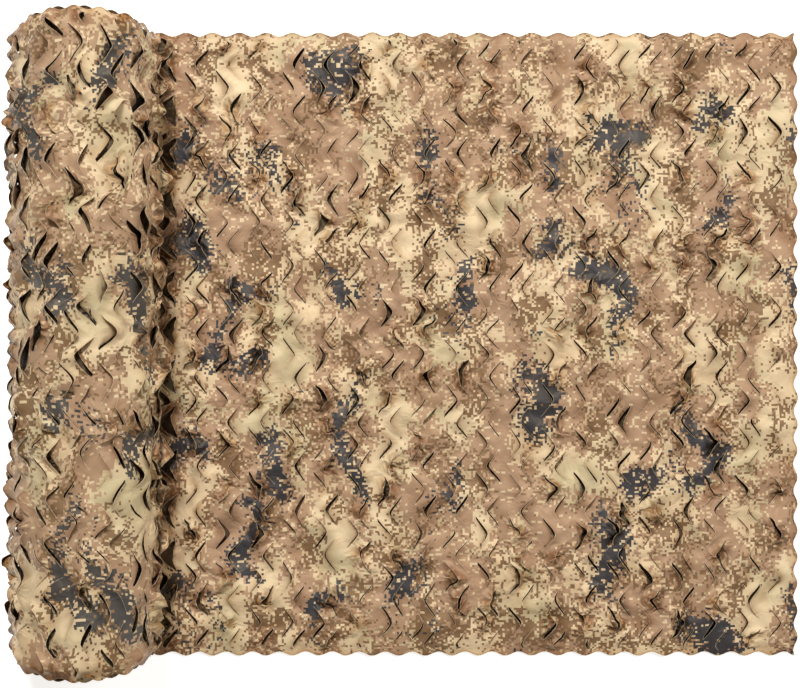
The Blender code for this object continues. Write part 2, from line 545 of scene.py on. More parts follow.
@dataclass
class WoundLay:
    """Winds cloth on the roll.

    Args:
        form: The wound form.
        draw_in: How far the ends are drawn in at the flanks.
        flare: How far they stand out at the top.
    """

    form: RollForm
    clearance: float = 0.0006
    draw_in: float = 0.026
    flare: float = 0.010
    draw_reach: float = 0.16
    flank_shape: float = 1.5
    rounded_turns: float = 1.5

    def place(self, along: np.ndarray, across: np.ndarray, height: np.ndarray) -> np.ndarray:
        """Turns cloth coordinates into points.

        Args:
            along: How far along the cloth each point lies.
            across: How far across it each lies.
            height: How high each stands out of its turn.

        Returns:
            The points, a row for each.
        """
        form = self.form
        turn = form.turn_at(along)
        angle = -math.pi / 2 + form.step_angle - 2 * np.pi * turn
        to_end = PATTERN.net_width / 2 - np.abs(across)
        shoulder = form.shoulder_drop * (1 - smooth_step(to_end / form.shoulder_reach))
        shoulder *= np.clip(self.rounded_turns - turn, 0, 1)
        radius = form.radius - form.turn_loft * turn - shoulder + height
        up = form.axis_z + radius * np.sin(angle)
        up = np.maximum(up, self.clearance)
        flank = 1 - np.abs(np.sin(angle)) ** self.flank_shape
        drawn = self.draw_in * flank * smooth_step(1 - to_end / self.draw_reach)
        drawn -= self.flare * (1 - flank) * smooth_step(1 - to_end / (self.draw_reach / 2))
        across = across - np.sign(across) * drawn
        return np.stack([form.axis_x + radius * np.cos(angle), across, up], axis=1)


@dataclass
class NetCloth:
    """A stretch of the netting, built flat with its slits and then laid in place.

    Args:
        name: The piece's name.
        first_line: The grid line that it starts at.
        last_line: The grid line that it ends at.
        lay: What turns its coordinates into points.
        pattern: The pattern that it is cut in.
        rows: Its first and last grid row, counted from the edge at -Y, or all of them.
        coarseness: How many grid steps one quad spans each way.
        tip: Where the cloth's trimmed end lies, if this stretch has it.
        inset: How much narrower it is trimmed at each side.
        wander: How far its rows and columns stray.
        dip_depth: How far below the mean a dip gets its full painted shade.
    """

    name: str
    first_line: int
    last_line: int
    lay: FloorLay | WoundLay
    pattern: CutPattern = PATTERN
    rows: tuple[int, int] | None = None
    coarseness: int = 1
    tip: float | None = None
    inset: float = 0.0
    wander: float = 0.0
    wander_along: tuple[Swells, ...] = (Swells(1.0, 0.13, 31.0), Swells(0.35, 0.05, 31.0))
    wander_across: tuple[Swells, ...] = (Swells(1.0, 0.13, 37.0), Swells(0.35, 0.05, 37.0))
    still_edge: float = 0.08
    trimmed_edge: float = 0.03
    tip_lines: int = 5
    thickness: float = 0.0007
    sharp_angle: float = math.radians(55)
    # Painted shade in the cloth's dips and along its trimmed edges.
    dip_depth: float = 0.010
    dip_start: float = 0.2
    dip_shade: float = 0.60
    edge_shade: float = 0.80
    edge_reach: float = 0.006
    slits: list[Slit] = field(default_factory=list)

    def flat_rows(self, row: np.ndarray) -> np.ndarray:
        """How far across the cloth each grid row lies."""
        return -self.pattern.net_width / 2 + row * self.pattern.row_step

    def flat_lines(self, line: np.ndarray, across: np.ndarray) -> np.ndarray:
        """Finds each point of the grid lines along the flat cloth.

        Args:
            line: Each point's grid line.
            across: How far across the cloth it lies.

        Returns:
            How far along the cloth it lies, with its line's swing.
        """
        places = {k: self.pattern.line_place(int(k)) for k in np.unique(line)}
        along = np.array([places[k] for k in line])
        swing = self.pattern.zigzag(across)
        if self.tip is not None:
            near_tip = smooth_step((line - (self.last_line - self.tip_lines)) / self.tip_lines)
            along += (self.tip - self.pattern.line_place(self.last_line)) * near_tip
            swing = swing * (1 - near_tip)
        return along + swing

    def build_grid(self) -> bmesh.types.BMesh:
        """Makes the uncut cloth on its grid.

        Returns:
            The cloth, with its places in whole grid steps.
        """
        low, high = self.rows or (0, self.pattern.top_row)
        wide = (self.last_line - self.first_line) // self.coarseness
        tall = (high - low) // self.coarseness
        cloth = bmesh.new()
        bmesh.ops.create_grid(cloth, x_segments=wide, y_segments=tall, size=0.5)
        for vert in cloth.verts:
            vert.co.x = self.first_line + round((vert.co.x + 0.5) * wide) * self.coarseness
            vert.co.y = low + round((vert.co.y + 0.5) * tall) * self.coarseness
        return cloth

    def cut(self, cloth: bmesh.types.BMesh) -> None:
        """Splits the cloth along each slit, and leaves the slits' tips joined.

        Args:
            cloth: The uncut cloth on its grid.
        """
        spans: dict[int, set[int]] = {}
        for slit in self.slits:
            spans.setdefault(slit.line, set()).update(range(slit.first, slit.last))
        cuts = []
        for edge in cloth.edges:
            one, other = (vert.co for vert in edge.verts)
            if one.x == other.x and int(one.x) in spans:
                if int(min(one.y, other.y)) in spans[int(one.x)]:
                    cuts.append(edge)
        bmesh.ops.split_edges(cloth, edges=cuts)

    def side_of(self, vert: bmesh.types.BMVert) -> int:
        """Finds which side of its grid line a point belongs to.

        Args:
            vert: The point, on the cut grid.

        Returns:
            The side that all its faces lie on, or 0 for both.
        """
        centres = [face.calc_center_median().x - vert.co.x for face in vert.link_faces]
        if all(centre < 0 for centre in centres):
            return -1
        return 1 if all(centre > 0 for centre in centres) else 0

    def build(self, relief: Field, shade_amount: Field | None = None) -> bpy.types.Object:
        """Cuts, opens, lays and thickens the cloth.

        Args:
            relief: The cloth's own height, by its place along and across.
            shade_amount: The painted shade away from its slits, if it has any.

        Returns:
            The finished piece.
        """
        cloth = self.build_grid()
        self.cut(cloth)
        cloth.verts.ensure_lookup_table()
        line = np.array([round(vert.co.x) for vert in cloth.verts])
        row = np.array([round(vert.co.y) for vert in cloth.verts])
        side = np.array([self.side_of(vert) for vert in cloth.verts])
        across = self.flat_rows(row)
        along = self.flat_lines(line, across)
        self.map_flat(cloth, along, across)
        moved = Opening(self.pattern, line, row, side, along, across)
        for slit in self.slits:
            moved.open_slit(slit)
        moved.crush()
        self.drift(moved)
        self.trim(moved)
        own_height = relief(along, across)
        self.shade_dips_and_edges(moved, own_height)
        if shade_amount:
            moved.painted_shade = np.maximum(moved.painted_shade, shade_amount(along, across))
        places = self.lay.place(moved.along, moved.across, moved.height + own_height)
        self.write_points(cloth, moved, places)
        return self.finish(cloth)

    def shade_dips_and_edges(self, moved: "Opening", own_height: np.ndarray) -> None:
        """Paints shade into the cloth's dips and along its trimmed edges.

        Args:
            moved: The cloth's points.
            own_height: Each point's height before its slits opened.
        """
        depth = (np.mean(own_height) - own_height) / self.dip_depth
        dips = self.dip_shade * smooth_step(depth - self.dip_start)
        to_edge = PATTERN.net_width / 2 - np.abs(moved.flat_across)
        if self.tip is not None:
            to_edge = np.minimum(to_edge, self.tip - moved.flat_along)
        edges = self.edge_shade * np.exp(-to_edge / self.edge_reach)
        moved.painted_shade = np.maximum(moved.painted_shade, np.maximum(dips, edges))

    def write_points(
        self, cloth: bmesh.types.BMesh, moved: "Opening", places: np.ndarray
    ) -> None:
        """Moves the cloth's points and keeps what the finish needs to know of each.

        Args:
            cloth: The cut cloth.
            moved: Its points' painted shade and crumples.
            places: Where each point goes.
        """
        edge_layer = cloth.verts.layers.float.new(CUT_EDGE_ATTRIBUTE)
        shade_layer = cloth.verts.layers.float.new(PAINTED_SHADE_ATTRIBUTE)
        crumple_layer = cloth.verts.layers.float.new(CRUMPLED_ATTRIBUTE)
        for vert, place in zip(cloth.verts, places):
            vert[edge_layer] = 1.0 if vert.is_boundary else 0.0
            vert[shade_layer] = float(moved.painted_shade[vert.index])
            vert[crumple_layer] = float(moved.crumpled[vert.index])
            vert.co = place

    def drift(self, moved: "Opening") -> None:
        """Lets the rows and columns stray a little, away from the cloth's edges.

        Args:
            moved: The cloth's points.
        """
        inside = PATTERN.net_width / 2 - np.abs(moved.flat_across)
        for end in (self.flat_end(self.first_line), self.flat_end(self.last_line)):
            inside = np.minimum(inside, np.abs(moved.flat_along - end))
        free = self.wander * smooth_step(inside / self.still_edge)
        flat = moved.flat_along, moved.flat_across
        moved.along += free * sum(swells.over(*flat) for swells in self.wander_along)
        moved.across += free * sum(swells.over(*flat) for swells in self.wander_across)

    def flat_end(self, line: int) -> float:
        """Finds one end of the flat cloth.

        Args:
            line: The grid line at that end.

        Returns:
            How far along the cloth the end lies.
        """
        if self.tip is not None and line == self.last_line:
            return self.tip
        return self.pattern.line_place(line)

    def trim(self, moved: "Opening") -> None:
        """Draws the edges in to their scallops.

        Args:
            moved: The cloth's points.
        """
        to_edge = PATTERN.net_width / 2 - np.abs(moved.flat_across)
        fade = smooth_step(1 - to_edge / self.trimmed_edge)
        dip = PATTERN.scallop((self.tip or 0.0) - moved.flat_along)
        moved.across -= np.sign(moved.flat_across) * (dip + self.inset) * fade
        if self.tip is not None:
            fade = smooth_step(1 - (self.tip - moved.flat_along) / self.trimmed_edge)
            moved.along -= PATTERN.scallop(moved.flat_across) * fade

    def map_flat(self, cloth: bmesh.types.BMesh, along: np.ndarray, across: np.ndarray) -> None:
        """Keeps each point's place on the flat cloth, in metres, as the piece's UV map.

        Args:
            cloth: The cut cloth.
            along: How far along the cloth each point lies.
            across: How far across it each lies.
        """
        layer = cloth.loops.layers.uv.new(FLAT_MAP)
        for face in cloth.faces:
            for loop in face.loops:
                index = loop.vert.index
                loop[layer].uv = (along[index], across[index])

    def finish(self, cloth: bmesh.types.BMesh) -> bpy.types.Object:
        """Gives the cloth its thickness and makes it an object.

        Args:
            cloth: The laid cloth.

        Returns:
            The finished piece, with empty slots for its face, its back and its cut edge.
        """
        mesh = bpy.data.meshes.new(self.name)
        cloth.to_mesh(mesh)
        cloth.free()
        piece = bpy.data.objects.new(self.name, mesh)
        bpy.context.scene.collection.objects.link(piece)
        solid = piece.modifiers.new("thickness", "SOLIDIFY")
        solid.thickness = self.thickness
        solid.offset = 1.0
        solid.material_offset = 1
        solid.material_offset_rim = 2
        for _ in ("face", "back", "cut edge"):
            mesh.materials.append(None)
        evaluated = piece.evaluated_get(bpy.context.evaluated_depsgraph_get())
        piece.data = bpy.data.meshes.new_from_object(evaluated)
        piece.modifiers.clear()
        bpy.data.meshes.remove(mesh)
        piece.data.name = self.name
        piece.data.shade_smooth()
        piece.data.set_sharp_from_angle(angle=self.sharp_angle)
        return piece


@dataclass
class Opening:
    """The cloth's points as its slits are opened and their tongues curl.

    Args:
        pattern: The pattern that the cloth is cut in.
        line: Each point's grid line.
        row: Each point's grid row.
        side: The side of its line that each point's faces lie on, or 0 for both.
        flat_along: How far along the flat cloth each point lies.
        flat_across: How far across it each lies.
    """

    pattern: CutPattern
    line: np.ndarray
    row: np.ndarray
    side: np.ndarray
    flat_along: np.ndarray
    flat_across: np.ndarray
    reach_lines: int = 6
    deepest: float = 0.030
    tongue_share: float = 1.1
    petal_roundness: float = 0.72
    kerf_roundness: float = 0.3
    lip_reach: float = 0.013
    # Painted shade beside each slit: on its tongue, deeper as the tongue sinks, and on its other
    # edge, deeper as the tongue rises.
    sunk_shade: float = 0.80
    sunk_shade_rise: float = 0.20
    sunk_bend: float = 0.4
    sunk_reach: float = 0.014
    raised_shade: float = 0.5
    raised_shade_rise: float = 0.5
    raised_bend: float = 0.3
    raised_reach: float = 0.008
    crumple_reach: float = 0.024
    crush_up: Swells = Swells(0.016, 0.024, 61.0)
    crush_along: Swells = Swells(0.010, 0.024, 67.0)
    crush_across: Swells = Swells(0.010, 0.024, 71.0)
    least_crumple: float = 0.05

    def __post_init__(self) -> None:
        """Starts with the cloth flat and every slit shut."""
        self.along, self.across = self.flat_along.copy(), self.flat_across.copy()
        self.height = np.zeros(len(self.line))
        self.painted_shade = np.zeros(len(self.line))
        self.crumpled = np.zeros(len(self.line))
        self.at: dict[tuple[int, int], list[int]] = {}
        for index, key in enumerate(zip(self.line.tolist(), self.row.tolist())):
            self.at.setdefault(key, []).append(index)

    def near(self, slit: Slit) -> np.ndarray:
        """Finds the points that a slit moves.

        Args:
            slit: The slit.

        Returns:
            Their numbers.
        """
        found: list[int] = []
        for line in range(slit.line - self.reach_lines, slit.line + self.reach_lines + 1):
            for row in range(slit.first, slit.last + 1):
                found += self.at.get((line, row), ())
        return np.array(found, dtype=int)

    def cut_and_chord(self, slit: Slit, across: np.ndarray) -> tuple[np.ndarray, np.ndarray]:
        """Finds a slit's cut, and the straight line between its tips.

        Args:
            slit: The slit.
            across: Places across the cloth.

        Returns:
            How far along the cloth each runs at those places.
        """
        place = self.pattern.line_place(slit.line)
        tips = np.array([slit.first, slit.last])
        ends = -self.pattern.net_width / 2 + tips * self.pattern.row_step
        chord = place + np.interp(across, ends, self.pattern.zigzag(ends))
        return place + self.pattern.zigzag(across), chord

    def open_slit(self, slit: Slit) -> None:
        """Parts a slit's sides, bends its tongue and lifts its lip.

        Args:
            slit: The slit.
        """
        near = self.near(slit)
        if not len(near):
            return
        tongue_side = slit.points.value
        middle, half = (slit.first + slit.last) / 2, (slit.last - slit.first) / 2
        share = (self.row[near] - middle) / half
        bow = np.clip(1 - share * share, 0.0, 1.0)
        cut, chord = self.cut_and_chord(slit, self.flat_across[near])
        on_line = self.line[near] == slit.line
        side = np.where(on_line, self.side[near], np.sign(self.line[near] - slit.line))
        away = np.abs(self.flat_along[near] - cut)
        on_tongue, on_lip = side == tongue_side, side == -tongue_side

        depth = np.abs(cut - chord) * self.tongue_share
        arm = np.where(on_tongue, np.maximum(depth - away, 0.0), 0.0)
        curled = slit.curl * arm / self.deepest + TINY
        rise = (np.cos(slit.bend) - np.cos(slit.bend + curled)) / curled
        reach = (np.sin(slit.bend + curled) - np.sin(slit.bend)) / curled
        petal = self.deepest * (arm / self.deepest) ** self.petal_roundness
        self.height[near] += petal * rise + arm * slit.twist * share
        self.along[near] += tongue_side * arm * (1 - reach)

        share_open = np.where(on_tongue, arm / np.maximum(depth, TINY), 0.0)
        parted = slit.kerf / 2 * np.power(bow, self.kerf_roundness)
        parted += slit.gape / 2 * bow * (1 + slit.lean * share)
        self.along[near] += tongue_side * parted * share_open
        self.across[near] += slit.skew * bow * share_open
        self.along[near] -= tongue_side * slit.skew * share * share_open
        lip = np.where(on_lip, nearness(away, self.lip_reach), 0.0)
        self.along[near] -= tongue_side * parted * lip
        self.height[near] += (slit.lip + slit.lip_twist * share) * bow * lip

        # Paints shade beside the slit, where its edges shade each other.
        sinking = min(max(-slit.bend, 0.0) / self.sunk_bend, 1.0)
        sunk = (self.sunk_shade + self.sunk_shade_rise * sinking) * np.exp(-away / self.sunk_reach)
        rising = min(max(slit.bend, 0.0) / self.raised_bend, 1.0)
        raised = self.raised_shade + self.raised_shade_rise * rising
        raised = raised * np.exp(-away / self.raised_reach)
        painted_shade = slit.shade_amount * np.sqrt(bow) * np.where(on_tongue, sunk, np.where(on_lip, raised, 0.0))
        self.painted_shade[near] = np.maximum(self.painted_shade[near], painted_shade)
        crumpled = slit.crumple * nearness(away, self.crumple_reach) * bow
        self.crumpled[near] = np.maximum(self.crumpled[near], crumpled)

    def crush(self) -> None:
        """Crumples the cloth where it is marked as crumpled."""
        marked = np.flatnonzero(self.crumpled > self.least_crumple)
        flat = self.flat_along[marked], self.flat_across[marked]
        share = self.crumpled[marked]
        self.height[marked] += share * self.crush_up.over(*flat)
        self.along[marked] += share * self.crush_along.over(*flat)
        self.across[marked] += share * self.crush_across.over(*flat)


@dataclass(frozen=True)
class LaidLeaves:
    """How the leaves stand on cloth that lies flat."""

    least_gape: float = 0.0012
    most_gape: float = 0.013
    chance_pull: float = 0.8
    pull_rarity: int = 4
    gape_share: float = 0.50
    lapped_share: float = 0.25
    lap: float = 0.004
    kerf: Rising = Rising(0.0002, 0.0013)
    rising_share: float = 0.42
    bend: Rising = Rising(0.03, 0.36)
    pulled_bend: float = 0.3
    sunk: float = -0.6
    curl: float = 1.4
    rolled_share: Rising = Rising(-0.35, 0.8)
    rolled_bend: float = 0.35
    rolled_curl: Rising = Rising(0.6, 0.8)
    twist: float = 1.1
    lip: Rising = Rising(0.001, 0.008)
    dropped_lip: float = -0.001
    lip_rarity: float = 1.5
    lip_twist: float = 0.022
    skew: float = 0.011
    lean: float = 0.9
    shade_amount: Rising = Rising(0.65, 0.35)
    crumpled_share: Rising = Rising(0.16, 0.5)
    crumpled_lip: Rising = Rising(0.004, 0.006)
    crumpled_twist: float = 2.2
    crumpled_lip_twist: float = 2.0

    def stand(self, slit: Slit, spots_pull: float) -> None:
        """Sets how a slit stands open.

        Args:
            slit: The slit.
            spots_pull: How far the spots near it pull it open.
        """
        chance = SCATTER.draw(slit.column, slit.row, slit.points.value)
        pull = self.chance_pull * chance**self.pull_rarity + spots_pull
        gape = self.least_gape + (self.most_gape - self.least_gape) * min(pull, 1.0)
        pulled = gape / self.most_gape
        lapped = slit.draw(LaidDraw.LAPPED) < self.lapped_share
        slit.gape = self.gape_share * gape - (self.lap if lapped else 0.0)
        slit.kerf = self.kerf.at(slit.draw(LaidDraw.KERF) ** 2)
        self.bend_tongue(slit, pulled)
        slit.skew = self.skew * slit.swing(LaidDraw.SKEW)
        slit.lean = self.lean * slit.swing(LaidDraw.LEAN)
        # Painted shade beside the slit, of a chance strength.
        slit.shade_amount = self.shade_amount.at(slit.draw(LaidDraw.SHADE))
        if slit.draw(LaidDraw.CRUMPLED) < self.crumpled_share.at(pulled):
            slit.crumple = 1.0
            slit.twist *= self.crumpled_twist
            slit.lip_twist *= self.crumpled_lip_twist
            slit.lip = self.crumpled_lip.at(slit.draw(LaidDraw.LIP))

    def bend_tongue(self, slit: Slit, pulled: float) -> None:
        """Sets how a slit's tongue bends and how its other edge stands.

        Args:
            slit: The slit.
            pulled: How far it is pulled open, from 0 to 1.
        """
        rises = slit.draw(LaidDraw.RISES) < self.rising_share
        bend = self.bend.at(slit.draw(LaidDraw.BEND) ** 2) + self.pulled_bend * pulled
        slit.bend = bend if rises else self.sunk * bend
        slit.curl = self.curl * slit.swing(LaidDraw.CURL)
        if slit.draw(LaidDraw.ROLLS_UP) < self.rolled_share.at(pulled):
            slit.bend = self.rolled_bend * slit.draw(LaidDraw.BEND)
            slit.curl = self.rolled_curl.at(slit.draw(LaidDraw.CURL))
        slit.twist = self.twist * slit.swing(LaidDraw.TWIST)
        raised = self.lip.at(slit.draw(LaidDraw.LIP) ** self.lip_rarity)
        slit.lip = self.dropped_lip if rises else raised
        slit.lip_twist = self.lip_twist * slit.swing(LaidDraw.LIP_TWIST)


@dataclass(frozen=True)
class ClimbingLeaves:
    """How the leaves are wrung where the cloth climbs from the floor to the roll."""

    place: float = -0.580
    reach: float = 0.040
    least_pull: float = 0.05
    gape: Rising = Rising(0.010, 0.018)
    bend: Rising = Rising(-0.1, 0.7)
    curl: Rising = Rising(-0.4, 1.6)
    twist: float = 1.6
    lip: float = 0.016
    lip_twist: float = 0.03
    crumple: float = 0.8
    # Painted shade in the groove where the cloth lies against the roll.
    shade_amount: float = 0.55
    shade_patches: Swells = Swells(0.9, 0.028, 81.0)

    def stand(self, slit: Slit, along: float) -> None:
        """Opens a slit wide and twists its ribbons.

        Args:
            slit: The slit, as it would stand on the floor.
            along: Where its apex lies along the cloth.
        """
        pull = float(nearness(along - self.place, self.reach))
        if pull < self.least_pull:
            return
        slit.gape = max(slit.gape, 0.0) + pull * self.gape.at(slit.draw(LaidDraw.CURL))
        slit.bend += pull * self.bend.at(slit.draw(LaidDraw.BEND))
        slit.curl += pull * self.curl.at(slit.draw(LaidDraw.ROLLS_UP))
        slit.twist += pull * self.twist * slit.swing(LaidDraw.TWIST)
        slit.lip += pull * self.lip * slit.draw(LaidDraw.LIP)
        slit.lip_twist += pull * self.lip_twist * slit.swing(LaidDraw.LIP_TWIST)
        slit.crumple = max(slit.crumple, self.crumple * pull)
        # Full painted shade beside the slit.
        slit.shade_amount = 1.0

    def painted_shade(self, along: np.ndarray, across: np.ndarray) -> np.ndarray:
        """The painted shade where the cloth lies against the roll, in patches."""
        patchy = self.shade_amount + self.shade_patches.over(along, across)
        return np.clip(nearness(along - self.place, self.reach) * patchy, 0.0, 1.0)


@dataclass
class LooseEnd:
    """The stretch of cloth that lies flat beside the roll, and the second ply under it."""

    form: RollForm
    leaves: LaidLeaves = LaidLeaves()
    climb: ClimbingLeaves = ClimbingLeaves()
    lie_height: float = 0.009
    lie_free: float = 0.12
    waves: tuple[Wave, ...] = (Wave(7.1, 3.0, 0.6), Wave(4.3, -8.2, 2.1), Wave(-9.7, 12.3, 4.4))
    crease_place: float = 0.712
    crease_width: float = 0.028
    crease_height: float = 0.008
    crease_start: Fade = Fade(-0.75, 0.1)
    crease_end: Fade = Fade(0.35, 0.2)
    small_height: float = 0.0150
    small_swells: tuple[Swells, ...] = (Swells(0.0120, 0.080, 1.0), Swells(0.0075, 0.038, 7.0))
    held_share: float = 0.45
    held_edge: float = 0.06
    wander: float = 0.008
    hidden_lines: int = 12
    tip_lines: int = 4
    edge_rows: int = 2
    over_under_ply: float = 0.0045
    under_height: float = 0.0022
    under_swells: Swells = Swells(0.0022, 0.11, 15.0)
    under_ply_back: float = 0.009
    under_ply_inset: float = 0.006
    pieces: list[bpy.types.Object] = field(default_factory=list)

    @property
    def tip(self) -> float:
        """Where the cloth's trimmed end lies."""
        return float(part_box(LOOSE_END_NODE)[1][0])

    @property
    def lines(self) -> tuple[int, int]:
        """The grid lines at the roll and at the trimmed end."""
        return PATTERN.nearest_line(self.form.leaves_at), PATTERN.nearest_line(self.tip)

    def relief(self, along: np.ndarray, across: np.ndarray) -> np.ndarray:
        """Gives the cloth slow swells, one crease, and small wrinkles everywhere.

        Args:
            along: Places along the cloth.
            across: Places across it.

        Returns:
            The cloth's own height there.
        """
        swell = sum(wave.over(along, across) for wave in self.waves) / len(self.waves)
        free = smooth_step((along - self.form.leaves_at - self.lie_free) / self.lie_free)
        crease = nearness(along - self.crease_place, self.crease_width)
        crease *= self.crease_start.above(across) * self.crease_end.below(across)
        height = self.lie_height * np.maximum(swell, 0.0) + self.crease_height * crease
        height += self.small_height + sum(swells.over(along, across) for swells in self.small_swells)
        inside = np.minimum(PATTERN.net_width / 2 - np.abs(across), self.tip - along)
        free = free * smooth_step(inside / self.held_edge)
        return height * (self.held_share + (1 - self.held_share) * free)

    def under_relief(self, along: np.ndarray, across: np.ndarray) -> np.ndarray:
        """The under ply's height, well below the upper ply's."""
        return self.under_height + self.under_swells.over(along, across)

    def build(self) -> None:
        """Builds both plies."""
        self.pieces = [self.build_cloth(), self.build_under_ply()]

    def build_cloth(self) -> bpy.types.Object:
        """Builds the upper ply, with its slits cut where the roll doesn't hide them.

        Returns:
            The finished piece.
        """
        first, last = self.lines
        lay = FloorLay(self.tip, self.over_under_ply)
        cloth = NetCloth("loose_end_cloth", first, last, lay, tip=self.tip, wander=self.wander)
        shown = first + self.hidden_lines
        cloth.slits = pattern_slits(PATTERN, shown, last - self.tip_lines, self.edge_rows)
        for slit in cloth.slits:
            along, across = slit.place(PATTERN)
            pull = sum(spot.pull_at(along, across) for spot in PULLED_SPOTS)
            self.leaves.stand(slit, pull)
            self.climb.stand(slit, along)
        return cloth.build(self.relief, self.climb.painted_shade)

    def build_under_ply(self) -> bpy.types.Object:
        """Builds the second ply of the doubled netting, which shows through the upper one's gaps.

        Returns:
            The finished piece.
        """
        first, last = self.lines
        last = first + (last - first) // 2 * 2
        cloth = NetCloth("loose_end_under_ply", first, last, FloorLay(self.tip), coarseness=2)
        cloth.tip, cloth.inset = self.tip - self.under_ply_back, self.under_ply_inset
        return cloth.build(self.under_relief)

    def dress(self) -> None:
        """Gives each ply its finishes and its node."""
        for piece, face in zip(self.pieces, (FACE, SHADED_UNDER_PLY)):
            dress_cloth(piece, LOOSE_END_NODE, face, BACK)


@dataclass(frozen=True)
class Band:
    """A band along the roll, in turns from where the cloth leaves it."""

    turn: float
    reach: float

    def share(self, form: RollForm, along: np.ndarray | float) -> np.ndarray | float:
        """How near a place is to the band's middle, from 0 to 1, whichever turn it lies on."""
        return nearness(form.turn_at(along) % 1.0 - self.turn, self.reach)


@dataclass(frozen=True)
class WoundPlace:
    """How a place on the roll is pulled about, each from 0 to 1."""

    along: float
    across: float
    valley: float  # in the groove between the roll and the loose end
    back: float  # on the flank away from the loose end
    wild: float  # pulled open by anything
    edge_on: float  # on the back's steepest part
    shut: float  # there or on the underside below it
    strength: float  # how lively its leaves are


